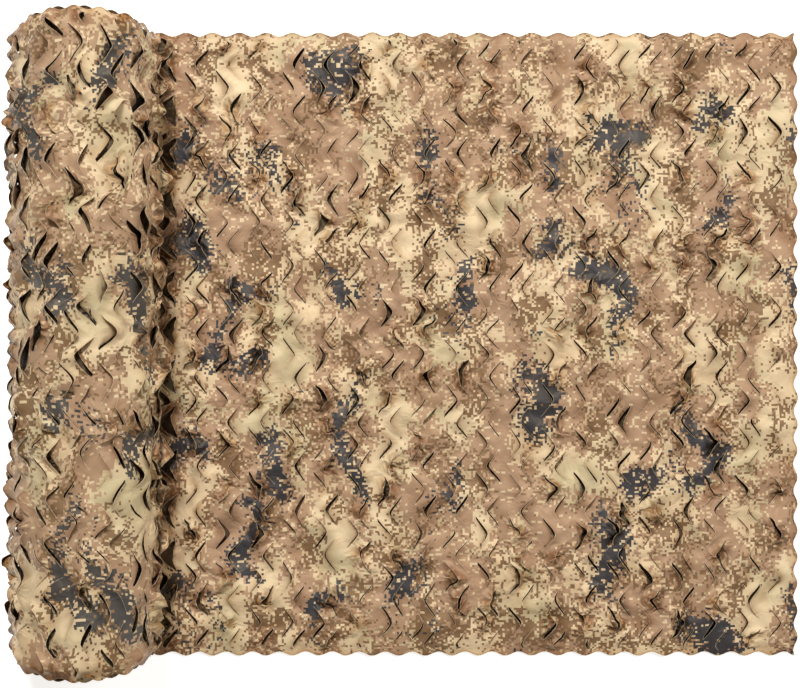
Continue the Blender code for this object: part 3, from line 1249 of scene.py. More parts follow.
@dataclass(frozen=True)
class WoundLeaves:
    """How the leaves stand on the roll, by where on their turn they lie."""

    valley: Band = Band(0.765, 0.045)
    back: Band = Band(0.25, 0.11)
    edge_on: Band = Band(0.275, 0.068)
    underside: Band = Band(0.19, 0.08)
    facing: Band = Band(0.745, 0.045)
    calming: float = 0.5
    calm_start: Fade = Fade(-0.15, 0.30)
    calm_end: Fade = Fade(-0.48, 0.14)
    kerf: Rising = Rising(0.0005, 0.0025)
    gape: float = 0.005
    wild_gape: float = 0.0065
    valley_gape: float = 0.010
    bend: Rising = Rising(0.08, 0.38)
    bend_rarity: float = 1.5
    wild_bend: float = 0.3
    sinking_share: Rising = Rising(0.45, -0.35)
    sunk: float = -0.6
    curl: float = 0.8
    curl_middle: float = 0.4
    shingled: float = 0.7
    shingled_size: float = 0.22
    shingled_seed: float = 41.0
    lip: Rising = Rising(0.001, 0.012)
    lip_twist: float = 0.022
    straight_at_back: float = 0.7
    lapped_share: float = 0.72
    lapped_wild: float = 0.36
    lapped_near_end: float = 0.30
    near_end: Fade = Fade(0.52, 0.12)
    lap: Rising = Rising(0.005, 0.008)
    lapped_bend: float = 0.14
    lapped_lip: float = 0.2
    lapped_twist: float = 0.6
    shut_share: float = 0.8
    shut_bend: float = 0.85
    shut_curl: float = 0.6
    edge_on_twist: float = 0.8
    skew: float = 0.020
    lean: float = 1.6
    shade_amount: Rising = Rising(0.4, 0.6)
    crumpled_share: float = 0.16
    crumpled_at_back: float = 0.7

    def place_of(self, slit: Slit, pattern: CutPattern, form: RollForm, lively: float) -> WoundPlace:
        """Finds how the place of a slit is pulled about.

        Args:
            slit: The slit.
            pattern: The pattern that it is cut in.
            form: The wound form.
            lively: How wildly its turn's leaves stand, from 0 to 1.

        Returns:
            The place.
        """
        along, across = slit.place(pattern)
        valley = float(self.valley.share(form, along))
        back = float(self.back.share(form, along))
        pulled = 0.0
        for spot in ROLL_SPOTS:
            centre = form.leaves_at - form.length_to(spot.along)
            pulled += replace(spot, along=centre).pull_at(along, across)
        wild = max(valley, back, min(pulled, 1.0))
        calm = float(self.calm_start.below(across)) * (1 - wild)
        calm *= 1 - float(self.calm_end.below(across))
        edge_on = float(self.edge_on.share(form, along))
        shut = max(edge_on, float(self.underside.share(form, along)))
        strength = lively * (1 - self.calming * calm)
        return WoundPlace(along, across, valley, back, wild, edge_on, shut, strength)

    def stand(self, slit: Slit, place: WoundPlace, facing: float) -> None:
        """Sets how a slit stands open.

        Args:
            slit: The slit.
            place: Where it lies.
            facing: How squarely it faces up the side of the roll, from 0 to 1.
        """
        slit.kerf = self.kerf.at(slit.draw(WoundDraw.KERF)) * (1 - place.shut)
        gape = self.gape * slit.draw(WoundDraw.GAPE) ** 2
        gape += self.wild_gape * place.wild + self.valley_gape * place.valley
        slit.gape = place.strength * gape * (1 - place.shut)
        self.bend_tongue(slit, place)
        near_end = float(self.near_end.above(abs(place.across)))
        lapped = self.lapped_share - self.lapped_wild * place.wild - self.lapped_near_end * near_end
        if slit.draw(WoundDraw.LAPPED) < lapped:
            self.lap_tongue(slit, place.strength)
        slit.bend *= 1 - self.shut_bend * max(place.edge_on, self.shut_share * place.shut)
        slit.curl *= 1 - self.shut_curl * place.shut
        still = 1 - self.edge_on_twist * place.edge_on
        slit.lip *= still
        slit.lip_twist *= still
        slit.twist *= still
        slit.skew = place.strength * self.skew * slit.swing(WoundDraw.SKEW_AND_SHADE)
        slit.lean = self.lean * slit.swing(WoundDraw.LEAN_AND_CRUMPLE)
        # Painted shade beside the slit, fullest where the leaves are pulled open.
        slit.shade_amount = self.shade_amount.at(max(slit.draw(WoundDraw.SKEW_AND_SHADE), place.wild))
        # Crumples at the back flank and by the groove, whose fold valleys get painted shade.
        slit.crumple = max(self.crumpled_at_back * place.back, facing)
        if slit.draw(WoundDraw.LEAN_AND_CRUMPLE) < self.crumpled_share:
            slit.crumple = 1.0

    def bend_tongue(self, slit: Slit, place: WoundPlace) -> None:
        """Sets how a slit's tongue bends and how its other edge stands.

        Args:
            slit: The slit.
            place: Where it lies.
        """
        bend = self.bend.at(slit.draw(WoundDraw.BEND) ** self.bend_rarity)
        slit.bend = place.strength * (bend + self.wild_bend * place.wild)
        if slit.draw(WoundDraw.SINKS) < self.sinking_share.at(place.back):
            slit.bend *= self.sunk
        curl = slit.draw(WoundDraw.CURL)
        slit.curl = place.strength * (self.curl * (curl - self.curl_middle) + place.wild * curl)
        straight = 1 - self.straight_at_back * place.back
        side = wrinkle(place.along, place.across, self.shingled_size, self.shingled_seed)
        twist = math.copysign(self.shingled, side) + slit.swing(WoundDraw.TWIST)
        slit.twist = place.strength * twist * straight
        slit.lip = place.strength * self.lip.at(slit.draw(WoundDraw.LIP))
        lip_twist = self.lip_twist * slit.swing(WoundDraw.LIP_TWIST)
        slit.lip_twist = place.strength * lip_twist * straight

    def lap_tongue(self, slit: Slit, strength: float) -> None:
        """Lays a slit's tongue over or under its other edge.

        Args:
            slit: The slit.
            strength: How lively its leaves are, from 0 to 1.
        """
        slit.gape = -strength * self.lap.at(slit.draw(WoundDraw.GAPE))
        slit.bend = math.copysign(abs(slit.bend) + self.lapped_bend, slit.bend)
        if slit.bend > 0:
            slit.lip *= self.lapped_lip
        slit.twist *= self.lapped_twist


@dataclass
class Roll:
    """The wound stretch: three full outer turns, and the inner turns' edges at both ends."""

    form: RollForm
    leaves: WoundLeaves = WoundLeaves()
    uncut_lines: int = 3
    edge_rows: int = 2
    end_rows: int = 16
    wander: float = 0.022
    second_turn_lively: float = 0.5
    ends_from: float = 2.98
    outer_swells: tuple[Swells, ...] = (Swells(0.0090, 0.10, 3.0), Swells(0.0060, 0.045, 5.0))
    inner_swells: Swells = Swells(0.0030, 0.09, 9.0)
    lobe_pitch: float = 0.043
    lobe_drift: float = 2.5
    lobe_height: float = 0.017
    lobe_sharpness: float = 0.6
    lobe_unevenness: float = 0.7
    uneven: Swells = Swells(1.0, 0.10, 51.0)
    # Painted shade on the outer turn: in the groove by the loose end, on its back flank and near its
    # ends.
    valley_band: Band = Band(0.750, 0.036)
    valley_shade: float = 0.75
    back_band: Band = Band(0.285, 0.055)
    back_shade: float = 1.4
    end_shade: float = 1.0
    end_shade_reach: float = 0.048
    shade_amount: float = 0.65
    shade_patches: Swells = Swells(1.1, 0.026, 83.0)
    pieces: list[bpy.types.Object] = field(default_factory=list)

    def lines_for(
        self, from_turn: float, to_turn: float, pattern: CutPattern = PATTERN
    ) -> tuple[int, int]:
        """Finds the grid lines between two turns.

        Args:
            from_turn: The outer turn.
            to_turn: The inner turn.
            pattern: The pattern that the cloth is cut in.

        Returns:
            The first grid line, which is the inner one, and the last.
        """
        start = self.form.leaves_at
        inner = pattern.nearest_line(start - self.form.length_to(to_turn))
        outer = pattern.nearest_line(start - self.form.length_to(from_turn))
        return inner, outer

    def outer_relief(self, along: np.ndarray, across: np.ndarray) -> np.ndarray:
        """Gives the outer turn small swells, and scalloped lobes along its back.

        Args:
            along: Places along the cloth.
            across: Places across it.

        Returns:
            The turn's own height there.
        """
        height = sum(swells.over(along, across) for swells in self.outer_swells)
        uneven = self.uneven.over(along / 2, across)
        phase = np.pi * across / self.lobe_pitch + self.lobe_drift * uneven
        wave = np.abs(np.sin(phase)) ** self.lobe_sharpness
        lobes = self.lobe_height * (wave * (1 + self.lobe_unevenness * uneven) - 0.5)
        return height + self.leaves.back.share(self.form, along) * lobes

    def outer_painted_shade(self, along: np.ndarray, across: np.ndarray) -> np.ndarray:
        """Paints shade on the outer turn in patches at its flanks and ends.

        Args:
            along: Places along the cloth.
            across: Places across it.

        Returns:
            How much painted shade it has there, from 0 to 1.
        """
        painted_shade = self.valley_shade * self.valley_band.share(self.form, along)
        painted_shade += self.back_shade * self.back_band.share(self.form, along)
        to_end = PATTERN.net_width / 2 - np.abs(across)
        painted_shade += self.end_shade * nearness(to_end, self.end_shade_reach)
        return np.clip(painted_shade * (self.shade_amount + self.shade_patches.over(along, across)), 0.0, 1.0)

    def inner_relief(self, along: np.ndarray, across: np.ndarray) -> np.ndarray:
        """An inner turn's own height."""
        return self.inner_swells.over(along, across)

    def build_turn(
        self, name: str, turn: int, lively: float, pattern: CutPattern = PATTERN
    ) -> bpy.types.Object:
        """Builds one full turn with its slits open.

        Args:
            name: The piece's name.
            turn: How many turns lie over it.
            lively: How wildly its leaves stand, from 0 to 1.
            pattern: The pattern that it is cut in.

        Returns:
            The finished piece.
        """
        first, last = self.lines_for(turn, turn + 1, pattern)
        cloth = NetCloth(name, first, last, WoundLay(self.form), pattern, wander=self.wander)
        shown = first + self.uncut_lines, last - self.uncut_lines
        cloth.slits = pattern_slits(pattern, *shown, self.edge_rows)
        for slit in cloth.slits:
            place = self.leaves.place_of(slit, pattern, self.form, lively)
            facing = float(self.leaves.facing.share(self.form, place.along))
            self.leaves.stand(slit, place, facing)
        if turn:
            return cloth.build(self.inner_relief)
        return cloth.build(self.outer_relief, self.outer_painted_shade)

    def build_plain(
        self, name: str, from_turn: float, to_turn: float, rows: tuple[int, int] | None = None
    ) -> bpy.types.Object:
        """Builds a stretch that is seen only through gaps or edge on, uncut and on a coarse grid.

        Args:
            name: The piece's name.
            from_turn: Its outer turn.
            to_turn: Its inner turn.
            rows: Its first and last grid row, or all of them.

        Returns:
            The finished piece.
        """
        first, last = self.lines_for(from_turn, to_turn)
        last = first + (last - first) // 2 * 2
        lay = WoundLay(self.form)
        return NetCloth(name, first, last, lay, rows=rows, coarseness=2).build(self.inner_relief)

    def build(self) -> None:
        """Builds all the wound pieces."""
        top, deep = PATTERN.top_row, (self.ends_from, self.form.turns)
        self.pieces = [
            self.build_turn("roll_outer_turn", 0, 1.0, FINE_PATTERN),
            self.build_turn("roll_second_turn", 1, self.second_turn_lively),
            self.build_plain("roll_third_turn", 2, 3),
            self.build_plain("roll_turns_near_end", *deep, (0, self.end_rows)),
            self.build_plain("roll_turns_far_end", *deep, (top - self.end_rows, top)),
        ]

    def dress(self) -> None:
        """Gives each piece its finishes and its node."""
        width, end_width = PATTERN.net_width, self.end_rows * PATTERN.row_step
        deep = (end_width, self.ends_from, self.form.turns, BACK)
        spans = (
            (width, 0, 1, BACK), (width, 1, 2, SHADED_INNER_TURN), (width, 2, 3, SHADED_INNER_TURN), deep, deep
        )
        for piece, (wide, outer, inner, back) in zip(self.pieces, spans):
            dress_cloth(piece, ROLL_NODE, FACE, back)
            length = self.form.length_to(inner) - self.form.length_to(outer)


class Graph:
    """Adds nodes to a node tree and links them."""

    def __init__(self, tree: bpy.types.NodeTree) -> None:
        """Works in this tree."""
        self.tree = tree

    def connect(self, value: Value, socket: Socket) -> None:
        """Links an output to a socket, or sets the socket to a plain value.

        Args:
            value: The output or the plain value.
            socket: The socket that takes it.
        """
        if isinstance(value, Socket):
            self.tree.links.new(value, socket)
        else:
            socket.default_value = value

    def add(
        self, kind: str, inputs: dict[str | int, Value] | None = None, **settings: object
    ) -> bpy.types.Node:
        """Adds a node.

        Args:
            kind: The node's type, without its ShaderNode prefix.
            inputs: Values or output sockets for its inputs, by name or number.
            settings: Its own settings.

        Returns:
            The node.
        """
        node = self.tree.nodes.new("ShaderNode" + kind)
        for name, value in settings.items():
            setattr(node, name, value)
        for key, value in (inputs or {}).items():
            self.connect(value, node.inputs[key])
        return node

    def maths(self, operation: str, *values: Value) -> Socket:
        """The result of a Math node."""
        return self.add("Math", dict(enumerate(values)), operation=operation).outputs[0]

    def vector(self, operation: str, *values: Value) -> Socket:
        """The vector result of a Vector Math node."""
        return self.add("VectorMath", dict(enumerate(values)), operation=operation).outputs[0]

    def scaled(self, value: Value, factor: float) -> Socket:
        """A vector times a number."""
        inputs = {0: value, "Scale": factor}
        return self.add("VectorMath", inputs, operation="SCALE").outputs[0]

    def mix(self, share: Value, one: Value, other: Value) -> Socket:
        """The colour between two colours."""
        return self.add("Mix", {0: share, 6: one, 7: other}, data_type="RGBA").outputs[2]

    def group(self, made: bpy.types.NodeTree, flat: Socket) -> bpy.types.Node:
        """A node of one of the shader groups, fed with the place on the flat cloth."""
        return self.add("Group", {"Flat": flat}, node_tree=made)


@dataclass(frozen=True)
class Climb:
    """A mask that climbs as a value does.

    Args:
        start: The value where the mask leaves 0.
        end: The value where it reaches its top.
        top: The mask's top.
    """

    start: float
    end: float
    top: float = 1.0

    def mask(self, graph: Graph, value: Socket) -> Socket:
        """Adds the mask of a value."""
        inputs = {0: value, 1: self.start, 2: self.end, 4: self.top}
        return graph.add("MapRange", inputs).outputs[0]


@dataclass(frozen=True)
class Relief:
    """A relief that is too fine for the mesh.

    Args:
        strength: How much of it shows, from 0 to 1.
        depth: How deep a height of 1 is.
    """

    strength: float
    depth: float

    def normal(self, graph: Graph, height: Socket, under: Socket | None = None) -> Socket:
        """Adds the relief.

        Args:
            graph: Where it is built.
            height: The relief's height.
            under: The normal of the relief that it lies over, if there is one.

        Returns:
            The bumped normal.
        """
        inputs = {"Height": height, "Strength": self.strength, "Distance": self.depth}
        if under is not None:
            inputs["Normal"] = under
        return graph.add("Bump", inputs).outputs[0]


@dataclass(frozen=True)
class Cloud:
    """A noise of soft swells.

    Args:
        scale: Swells to a metre.
        detail: Octaves of finer swells.
        seed: Which part of the noise is used.
        stretch: How much the swells are narrowed along each axis.
    """

    scale: float
    detail: float
    seed: float = 0.0
    stretch: Triple = (1.0, 1.0, 1.0)
    roughness: float = 0.5
    distortion: float = 0.0

    def value(self, graph: Graph, place: Socket) -> Socket:
        """Adds the noise.

        Args:
            graph: Where it is built.
            place: The place on the flat cloth.

        Returns:
            A number from 0 to 1.
        """
        if self.seed:
            offset = (self.seed, self.seed * 0.7, self.seed * 1.9)
            place = graph.vector("MULTIPLY_ADD", place, self.stretch, offset)
        return self.node(graph, place).outputs["Fac"]

    def node(self, graph: Graph, place: Socket) -> bpy.types.Node:
        """Adds the noise's node alone, without the seed and the stretch.

        Args:
            graph: Where it is built.
            place: Where it is read.

        Returns:
            The node.
        """
        inputs = {"Vector": place, "Scale": self.scale, "Detail": self.detail}
        inputs |= {"Roughness": self.roughness, "Distortion": self.distortion}
        return graph.add("TexNoise", inputs)


@dataclass(frozen=True)
class ShaderGroup:
    """A shader node group that reads a place on the flat cloth."""

    name: str

    def group(self) -> bpy.types.NodeTree:
        """Builds the node group, once.

        Returns:
            The node group.
        """
        if self.name in bpy.data.node_groups:
            return bpy.data.node_groups[self.name]
        tree = bpy.data.node_groups.new(self.name, "ShaderNodeTree")
        tree.interface.new_socket("Flat", in_out="INPUT", socket_type="NodeSocketVector")
        found = self.outputs(Graph(tree), tree.nodes.new("NodeGroupInput").outputs["Flat"])
        for name, value in found.items():
            kind = "NodeSocketColor" if value.type == "RGBA" else "NodeSocketFloat"
            tree.interface.new_socket(name, in_out="OUTPUT", socket_type=kind)
        output = tree.nodes.new("NodeGroupOutput")
        for name, value in found.items():
            tree.links.new(value, output.inputs[name])
        return tree

    def outputs(self, graph: Graph, flat: Socket) -> dict[str, Socket]:
        """Builds the group's nodes, and hands back its outputs by name."""
        raise NotImplementedError


@dataclass(frozen=True)
class PrintInks:
    """The print's inks, as linear colours."""

    sand: Colour = (0.730, 0.577, 0.368, 1.0)
    khaki: Colour = (0.595, 0.500, 0.305, 1.0)
    clay: Colour = (0.436, 0.281, 0.178, 1.0)
    olive: Colour = (0.236, 0.141, 0.074, 1.0)
    slate: Colour = (0.048, 0.050, 0.062, 1.0)


class Spray(Enum):
    """The chance numbers that break up each ink's border."""

    CLAY = 1
    OLIVE = 2
    SLATE = 3


@dataclass(frozen=True)
class Bars:
    """Chance numbers for single dots, or for short bars of dots.

    Args:
        to_a_dot: How many numbers there are to a dot, each way.
        weight: How strongly they count.
    """

    to_a_dot: Triple
    weight: float


@dataclass(frozen=True)
class SquareDotPrint(ShaderGroup):
    """A camouflage print of small square dots.

    Each ink is a soft field that is cut off at a level. Chance numbers for each dot, and for
    short bars of dots, are added before the cut, so the ink's border breaks up into dots.
    """

    name: str = "square_dot_print"
    dot: float = 0.0051
    inks: PrintInks = PrintInks()
    patches: Cloud = Cloud(6.3, 1.0, 3.0, (1.25, 0.75, 1.0))
    blotches: Cloud = Cloud(17.0, 2.0, 5.0, (1.1, 0.8, 1.0))
    blotch_share: float = 0.34
    clay_spray: float = 0.044
    clay_level: float = 0.500
    olive_cloud: Cloud = Cloud(10.0, 1.5, 7.0, (1.0, 0.8, 1.0))
    olive_border: float = 0.47
    olive_fall: float = -0.8
    olive_spray: float = 0.13
    olive_level: float = 0.560
    khaki_cloud: Cloud = Cloud(8.0, 1.0, 11.0, (1.0, 0.8, 1.0))
    khaki_climb: Climb = Climb(0.50, 0.66)
    slate_warp: Cloud = Cloud(4.2, 1.0)
    slate_warp_place: Triple = (6.3, 2.0, 5.0)
    slate_bend: Triple = (0.42, 0.42, 0.0)
    slate_stretch: Triple = (1.5, 0.85, 1.0)
    slate_scale: float = 3.1
    slate_scatter: float = 0.7
    slate_ragged: Cloud = Cloud(16.0, 1.5, 21.0)
    slate_ragged_share: float = 0.42
    slate_spray: float = 0.085
    slate_level: float = 0.370
    fleck_seed: int = 9
    flecks_to_a_dot: Triple = (0.7, 1.0, 1.0)
    fleck_level: float = 0.925
    bars: tuple[Bars, ...] = (
        Bars((1.0, 1.0, 1.0), 0.9),
        Bars((0.5, 1.0, 1.0), 0.5),
        Bars((1.0, 0.34, 1.0), 0.5),
        Bars((0.5, 0.5, 1.0), 0.5),
    )

    def outputs(self, graph: Graph, flat: Socket) -> dict[str, Socket]:
        """Builds the print, ink over ink.

        Args:
            graph: Where it is built.
            flat: The place on the flat cloth.

        Returns:
            The print's colour.
        """
        cell = graph.vector("FLOOR", graph.scaled(flat, 1 / self.dot))
        place = graph.scaled(cell, self.dot)
        clay_field = self.clay_field(graph, place, cell)
        flecks = self.chance(graph, cell, self.fleck_seed, self.flecks_to_a_dot)
        solid = graph.maths("LESS_THAN", flecks, self.fleck_level)
        clay = graph.maths("GREATER_THAN", clay_field, self.clay_level)
        clay = graph.maths("MULTIPLY", clay, solid)
        slate = graph.maths("MULTIPLY", self.clusters(graph, place, cell), solid)
        khaki = self.khaki_climb.mask(graph, self.khaki_cloud.value(graph, place))
        colour = graph.mix(khaki, self.inks.sand, self.inks.khaki)
        colour = graph.mix(clay, colour, self.inks.clay)
        colour = graph.mix(self.olive(graph, place, cell, clay_field), colour, self.inks.olive)
        return {"Color": graph.mix(slate, colour, self.inks.slate)}

    def clay_field(self, graph: Graph, place: Socket, cell: Socket) -> Socket:
        """Builds the field that the clay ink is cut from.

        Args:
            graph: Where it is built.
            place: The dot's place on the flat cloth.
            cell: The dot's whole numbers.

        Returns:
            The field.
        """
        blotches = graph.maths("MULTIPLY", self.blotches.value(graph, place), self.blotch_share)
        patches = self.patches.value(graph, place)
        field_value = graph.maths("MULTIPLY_ADD", patches, 1 - self.blotch_share, blotches)
        return graph.maths("ADD", field_value, self.spray(graph, cell, Spray.CLAY, self.clay_spray))

    def olive(self, graph: Graph, place: Socket, cell: Socket, clay_field: Socket) -> Socket:
        """Builds the olive ink, which keeps near the clay ink's borders.

        Args:
            graph: Where it is built.
            place: The dot's place on the flat cloth.
            cell: The dot's whole numbers.
            clay_field: The field that the clay ink is cut from.

        Returns:
            The ink's mask.
        """
        border = graph.maths("ABSOLUTE", graph.maths("SUBTRACT", clay_field, self.olive_border))
        cloud = self.olive_cloud.value(graph, place)
        field_value = graph.maths("MULTIPLY_ADD", border, self.olive_fall, cloud)
        spray = self.spray(graph, cell, Spray.OLIVE, self.olive_spray)
        field_value = graph.maths("ADD", field_value, spray)
        return graph.maths("GREATER_THAN", field_value, self.olive_level)

    def clusters(self, graph: Graph, place: Socket, cell: Socket) -> Socket:
        """Builds the slate ink's clusters: bent blobs, spread evenly over the cloth.

        Args:
            graph: Where they are built.
            place: The dot's place on the flat cloth.
            cell: The dot's whole numbers.

        Returns:
            The ink's mask.
        """
        warp = self.slate_warp.node(graph, graph.vector("ADD", place, self.slate_warp_place))
        centred = graph.vector("SUBTRACT", warp.outputs["Color"], (0.5, 0.5, 0.5))
        bent = graph.vector("MULTIPLY_ADD", centred, self.slate_bend, place)
        narrowed = graph.vector("MULTIPLY", bent, self.slate_stretch)
        inputs = {"Vector": narrowed, "Scale": self.slate_scale, "Randomness": self.slate_scatter}
        blobs = graph.add("TexVoronoi", inputs, voronoi_dimensions="2D").outputs["Distance"]
        ragged = self.slate_ragged.value(graph, place)
        field_value = graph.maths("MULTIPLY_ADD", ragged, self.slate_ragged_share, blobs)
        spray = self.spray(graph, cell, Spray.SLATE, self.slate_spray)
        field_value = graph.maths("ADD", field_value, spray)
        return graph.maths("LESS_THAN", field_value, self.slate_level)

    def chance(self, graph: Graph, cell: Socket, seed: int, to_a_dot: Triple) -> Socket:
        """Builds a chance number for each dot, or for each bar of dots.

        Args:
            graph: Where it is built.
            cell: The dot's whole numbers.
            seed: Which chance numbers are used.
            to_a_dot: How many numbers there are to a dot, each way.

        Returns:
            A number from 0 to 1.
        """
        snapped = graph.vector("FLOOR", graph.vector("MULTIPLY", cell, to_a_dot))
        moved = graph.vector("ADD", snapped, (0.5, 0.5, seed))
        return graph.add("TexWhiteNoise", {"Vector": moved}).outputs["Value"]

    def spray(self, graph: Graph, cell: Socket, kind: Spray, amount: float) -> Socket:
        """Builds chance numbers about 0 for single dots and for short bars of dots both ways.

        Args:
            graph: Where they are built.
            cell: The dot's whole numbers.
            kind: The ink that they are for.
            amount: How far single dots stray from 0, give or take.

        Returns:
            Their sum.
        """
        total: Value = 0.0
        for index, bars in enumerate(self.bars):
            value = self.chance(graph, cell, kind.value * 10 + index, bars.to_a_dot)
            centred = graph.maths("SUBTRACT", value, 0.5)
            total = graph.maths("MULTIPLY_ADD", centred, bars.weight * amount * 2, total)
        return total


@dataclass(frozen=True)
class ClothSurface(ShaderGroup):
    """The woven cloth's threads, soft creases, sharp crumples and dust."""

    name: str = "woven_surface"
    thread: float = 0.0011
    slow: Cloud = Cloud(24.0, 3.0, distortion=0.6)
    broad: Cloud = Cloud(11.0, 2.0)
    sharp: Cloud = Cloud(27.0, 2.0, distortion=0.5)
    dusting: Cloud = Cloud(4.5, 4.0, roughness=0.65)
    fold_share: float = -1.2
    roughness: Rising = Rising(0.36, 0.3)
    crush_reach: float = 0.20
    dust_climb: Climb = Climb(0.42, 0.66)

    def outputs(self, graph: Graph, flat: Socket) -> dict[str, Socket]:
        """Builds the surface's masks and heights.

        Args:
            graph: Where they are built.
            flat: The place on the flat cloth.

        Returns:
            The group's outputs, by name.
        """
        parts = graph.add("SeparateXYZ", {0: graph.scaled(flat, math.pi / self.thread)}).outputs
        warp, weft = (graph.maths("SINE", parts[axis]) for axis in "XY")
        slow = self.slow.value(graph, flat)
        folded = graph.maths("MULTIPLY", self.ridge(graph, slow), self.fold_share)
        # Crush: sharp fold valleys, which raise the crumples' bumps and carry their painted shade.
        crush = self.ridge(graph, self.sharp.value(graph, flat))
        crush = graph.add(
            "MapRange", {0: crush, 2: self.crush_reach}, interpolation_type="SMOOTHSTEP"
        )
        gloss = self.roughness
        return {
            "Weave": graph.maths("MULTIPLY", warp, weft),
            "Creases": graph.maths("ADD", folded, self.broad.value(graph, flat)),
            "Roughness": graph.maths("MULTIPLY_ADD", slow, gloss.rise, gloss.least),
            "Crush": crush.outputs[0],
            "Dust": self.dust_climb.mask(graph, self.dusting.value(graph, flat)),
        }

    def ridge(self, graph: Graph, value: Socket) -> Socket:
        """How far a value strays from the middle, which makes sharp valleys where it crosses."""
        return graph.maths("ABSOLUTE", graph.maths("SUBTRACT", value, 0.5))


@dataclass(frozen=True)
class ClothFinish:
    """One face of the printed cloth.

    Args:
        name: The material's name.
        fade: How far the print fades towards its ground.
        ground: The colour that it fades towards.
        sheen: How strongly its fuzz glows at grazing angles.
        specular: How glossy it is.
        dust: How far it browns where dust lies.
    """

    name: str
    fade: float
    ground: Colour
    sheen: float = 0.12
    specular: float = 0.5
    dust: float = 0.34
    gloss_tint: Colour = (1.0, 0.80, 0.54, 1.0)
    sheen_roughness: float = 0.4
    # Painted shade and dust multiply the colour by this tint.
    shade_and_dust_tint: Triple = (0.43, 0.25, 0.12)
    # Pale cut edges: partly pale threads and partly a painted highlight.
    thread_and_highlight_colour: Colour = (0.92, 0.80, 0.58, 1.0)
    frayed_and_lit_edge: Climb = Climb(0.82, 0.95, 0.32)
    thread_relief: Relief = Relief(0.25, 0.0002)
    crease_relief: Relief = Relief(0.65, 0.009)
    crush_height: float = 1.4

    def material(self) -> bpy.types.Material:
        """Builds the material, once.

        Returns:
            The material.
        """
        if self.name in bpy.data.materials:
            return bpy.data.materials[self.name]
        made = bpy.data.materials.new(self.name)
        made.use_nodes = True
        graph = Graph(made.node_tree)
        flat = graph.add("UVMap", uv_map=FLAT_MAP).outputs["UV"]
        printed = graph.group(SquareDotPrint().group(), flat).outputs["Color"]
        surface = graph.group(ClothSurface().group(), flat).outputs
        crumpled = graph.add("Attribute", attribute_name=CRUMPLED_ATTRIBUTE).outputs["Fac"]
        look: dict[str, Value] = {
            "Base Color": self.colour(graph, printed, surface, crumpled),
            "Roughness": surface["Roughness"],
            "Normal": self.normal(graph, surface, crumpled),
            "Sheen Weight": self.sheen,
            "Sheen Roughness": self.sheen_roughness,
            "Sheen Tint": self.gloss_tint,
            "Specular Tint": self.gloss_tint,
            "Specular IOR Level": self.specular,
        }
        for name, value in look.items():
            graph.connect(value, made.node_tree.nodes["Principled BSDF"].inputs[name])
        return made

    def colour(
        self,
        graph: Graph,
        printed: Socket,
        surface: bpy.types.bpy_prop_collection,
        crumpled: Socket,
    ) -> Socket:
        """Fades the print, darkens it with painted shade and with dust, and paints its cut edges
        pale: partly pale threads and partly a painted highlight.

        Args:
            graph: Where it is built.
            printed: The print's colour.
            surface: The surface group's outputs.
            crumpled: How crumpled the cloth is.

        Returns:
            The colour.
        """
        colour = graph.mix(self.fade, printed, self.ground)
        painted_shade = graph.add("Attribute", attribute_name=PAINTED_SHADE_ATTRIBUTE).outputs["Fac"]
        # Painted shade in the fold valleys of crumpled cloth.
        shaded_valleys = graph.maths("SUBTRACT", 1.0, surface["Crush"])
        shade_and_dust = graph.maths("MAXIMUM", painted_shade, graph.maths("MULTIPLY", crumpled, shaded_valleys))
        dusty = graph.maths("MULTIPLY", surface["Dust"], self.dust)
        shade_and_dust = graph.maths("MAXIMUM", shade_and_dust, dusty)
        shaded_and_dusty = graph.vector("MULTIPLY", colour, self.shade_and_dust_tint)
        colour = graph.mix(shade_and_dust, colour, shaded_and_dusty)
        # Paints the cut edges pale: partly pale threads and partly a painted highlight.
        at_edge = graph.add("Attribute", attribute_name=CUT_EDGE_ATTRIBUTE).outputs["Fac"]
        return graph.mix(self.frayed_and_lit_edge.mask(graph, at_edge), colour, self.thread_and_highlight_colour)

    def normal(
        self, graph: Graph, surface: bpy.types.bpy_prop_collection, crumpled: Socket
    ) -> Socket:
        """Raises the threads, and over them the creases.

        Args:
            graph: Where it is built.
            surface: The surface group's outputs.
            crumpled: How crumpled the cloth is.

        Returns:
            The bumped normal.
        """
        crush = graph.maths("MULTIPLY", crumpled, self.crush_height)
        height = graph.maths("MULTIPLY_ADD", crush, surface["Crush"], surface["Creases"])
        threads = self.thread_relief.normal(graph, surface["Weave"])
        return self.crease_relief.normal(graph, height, threads)


FACE = ClothFinish("printed_face", 0.0, (0.5, 0.4, 0.25, 1.0))
BACK = ClothFinish("printed_back", 0.08, (0.26, 0.22, 0.10, 1.0))
CUT_EDGE = ClothFinish("cut_edge", 0.50, (0.62, 0.48, 0.30, 1.0))
# The under ply and the inner turns fade their print almost to black: painted shade for the dark gaps
# under and inside the netting.
SHADED_GROUND = (0.008, 0.004, 0.001, 1.0)
SHADED_UNDER_PLY = ClothFinish("shaded_under_ply", 0.82, SHADED_GROUND, sheen=0.0, specular=0.2, dust=0.8)
SHADED_INNER_TURN = ClothFinish("shaded_inner_turn", 0.78, SHADED_GROUND, sheen=0.0, specular=0.2, dust=0.8)


def dress_cloth(
    piece: bpy.types.Object, node: str, face: ClothFinish, back: ClothFinish
) -> None:
    """Gives a cloth piece its finishes, and has it stand for its node.

    Args:
        piece: The piece.
        node: The node that it stands for.
        face: The finish of its upper or outer face.
        back: The finish of its other face.
    """
    for index, finish in enumerate((face, back, CUT_EDGE)):
        piece.data.materials[index] = finish.material()
    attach(piece, BODY)
    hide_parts(node)


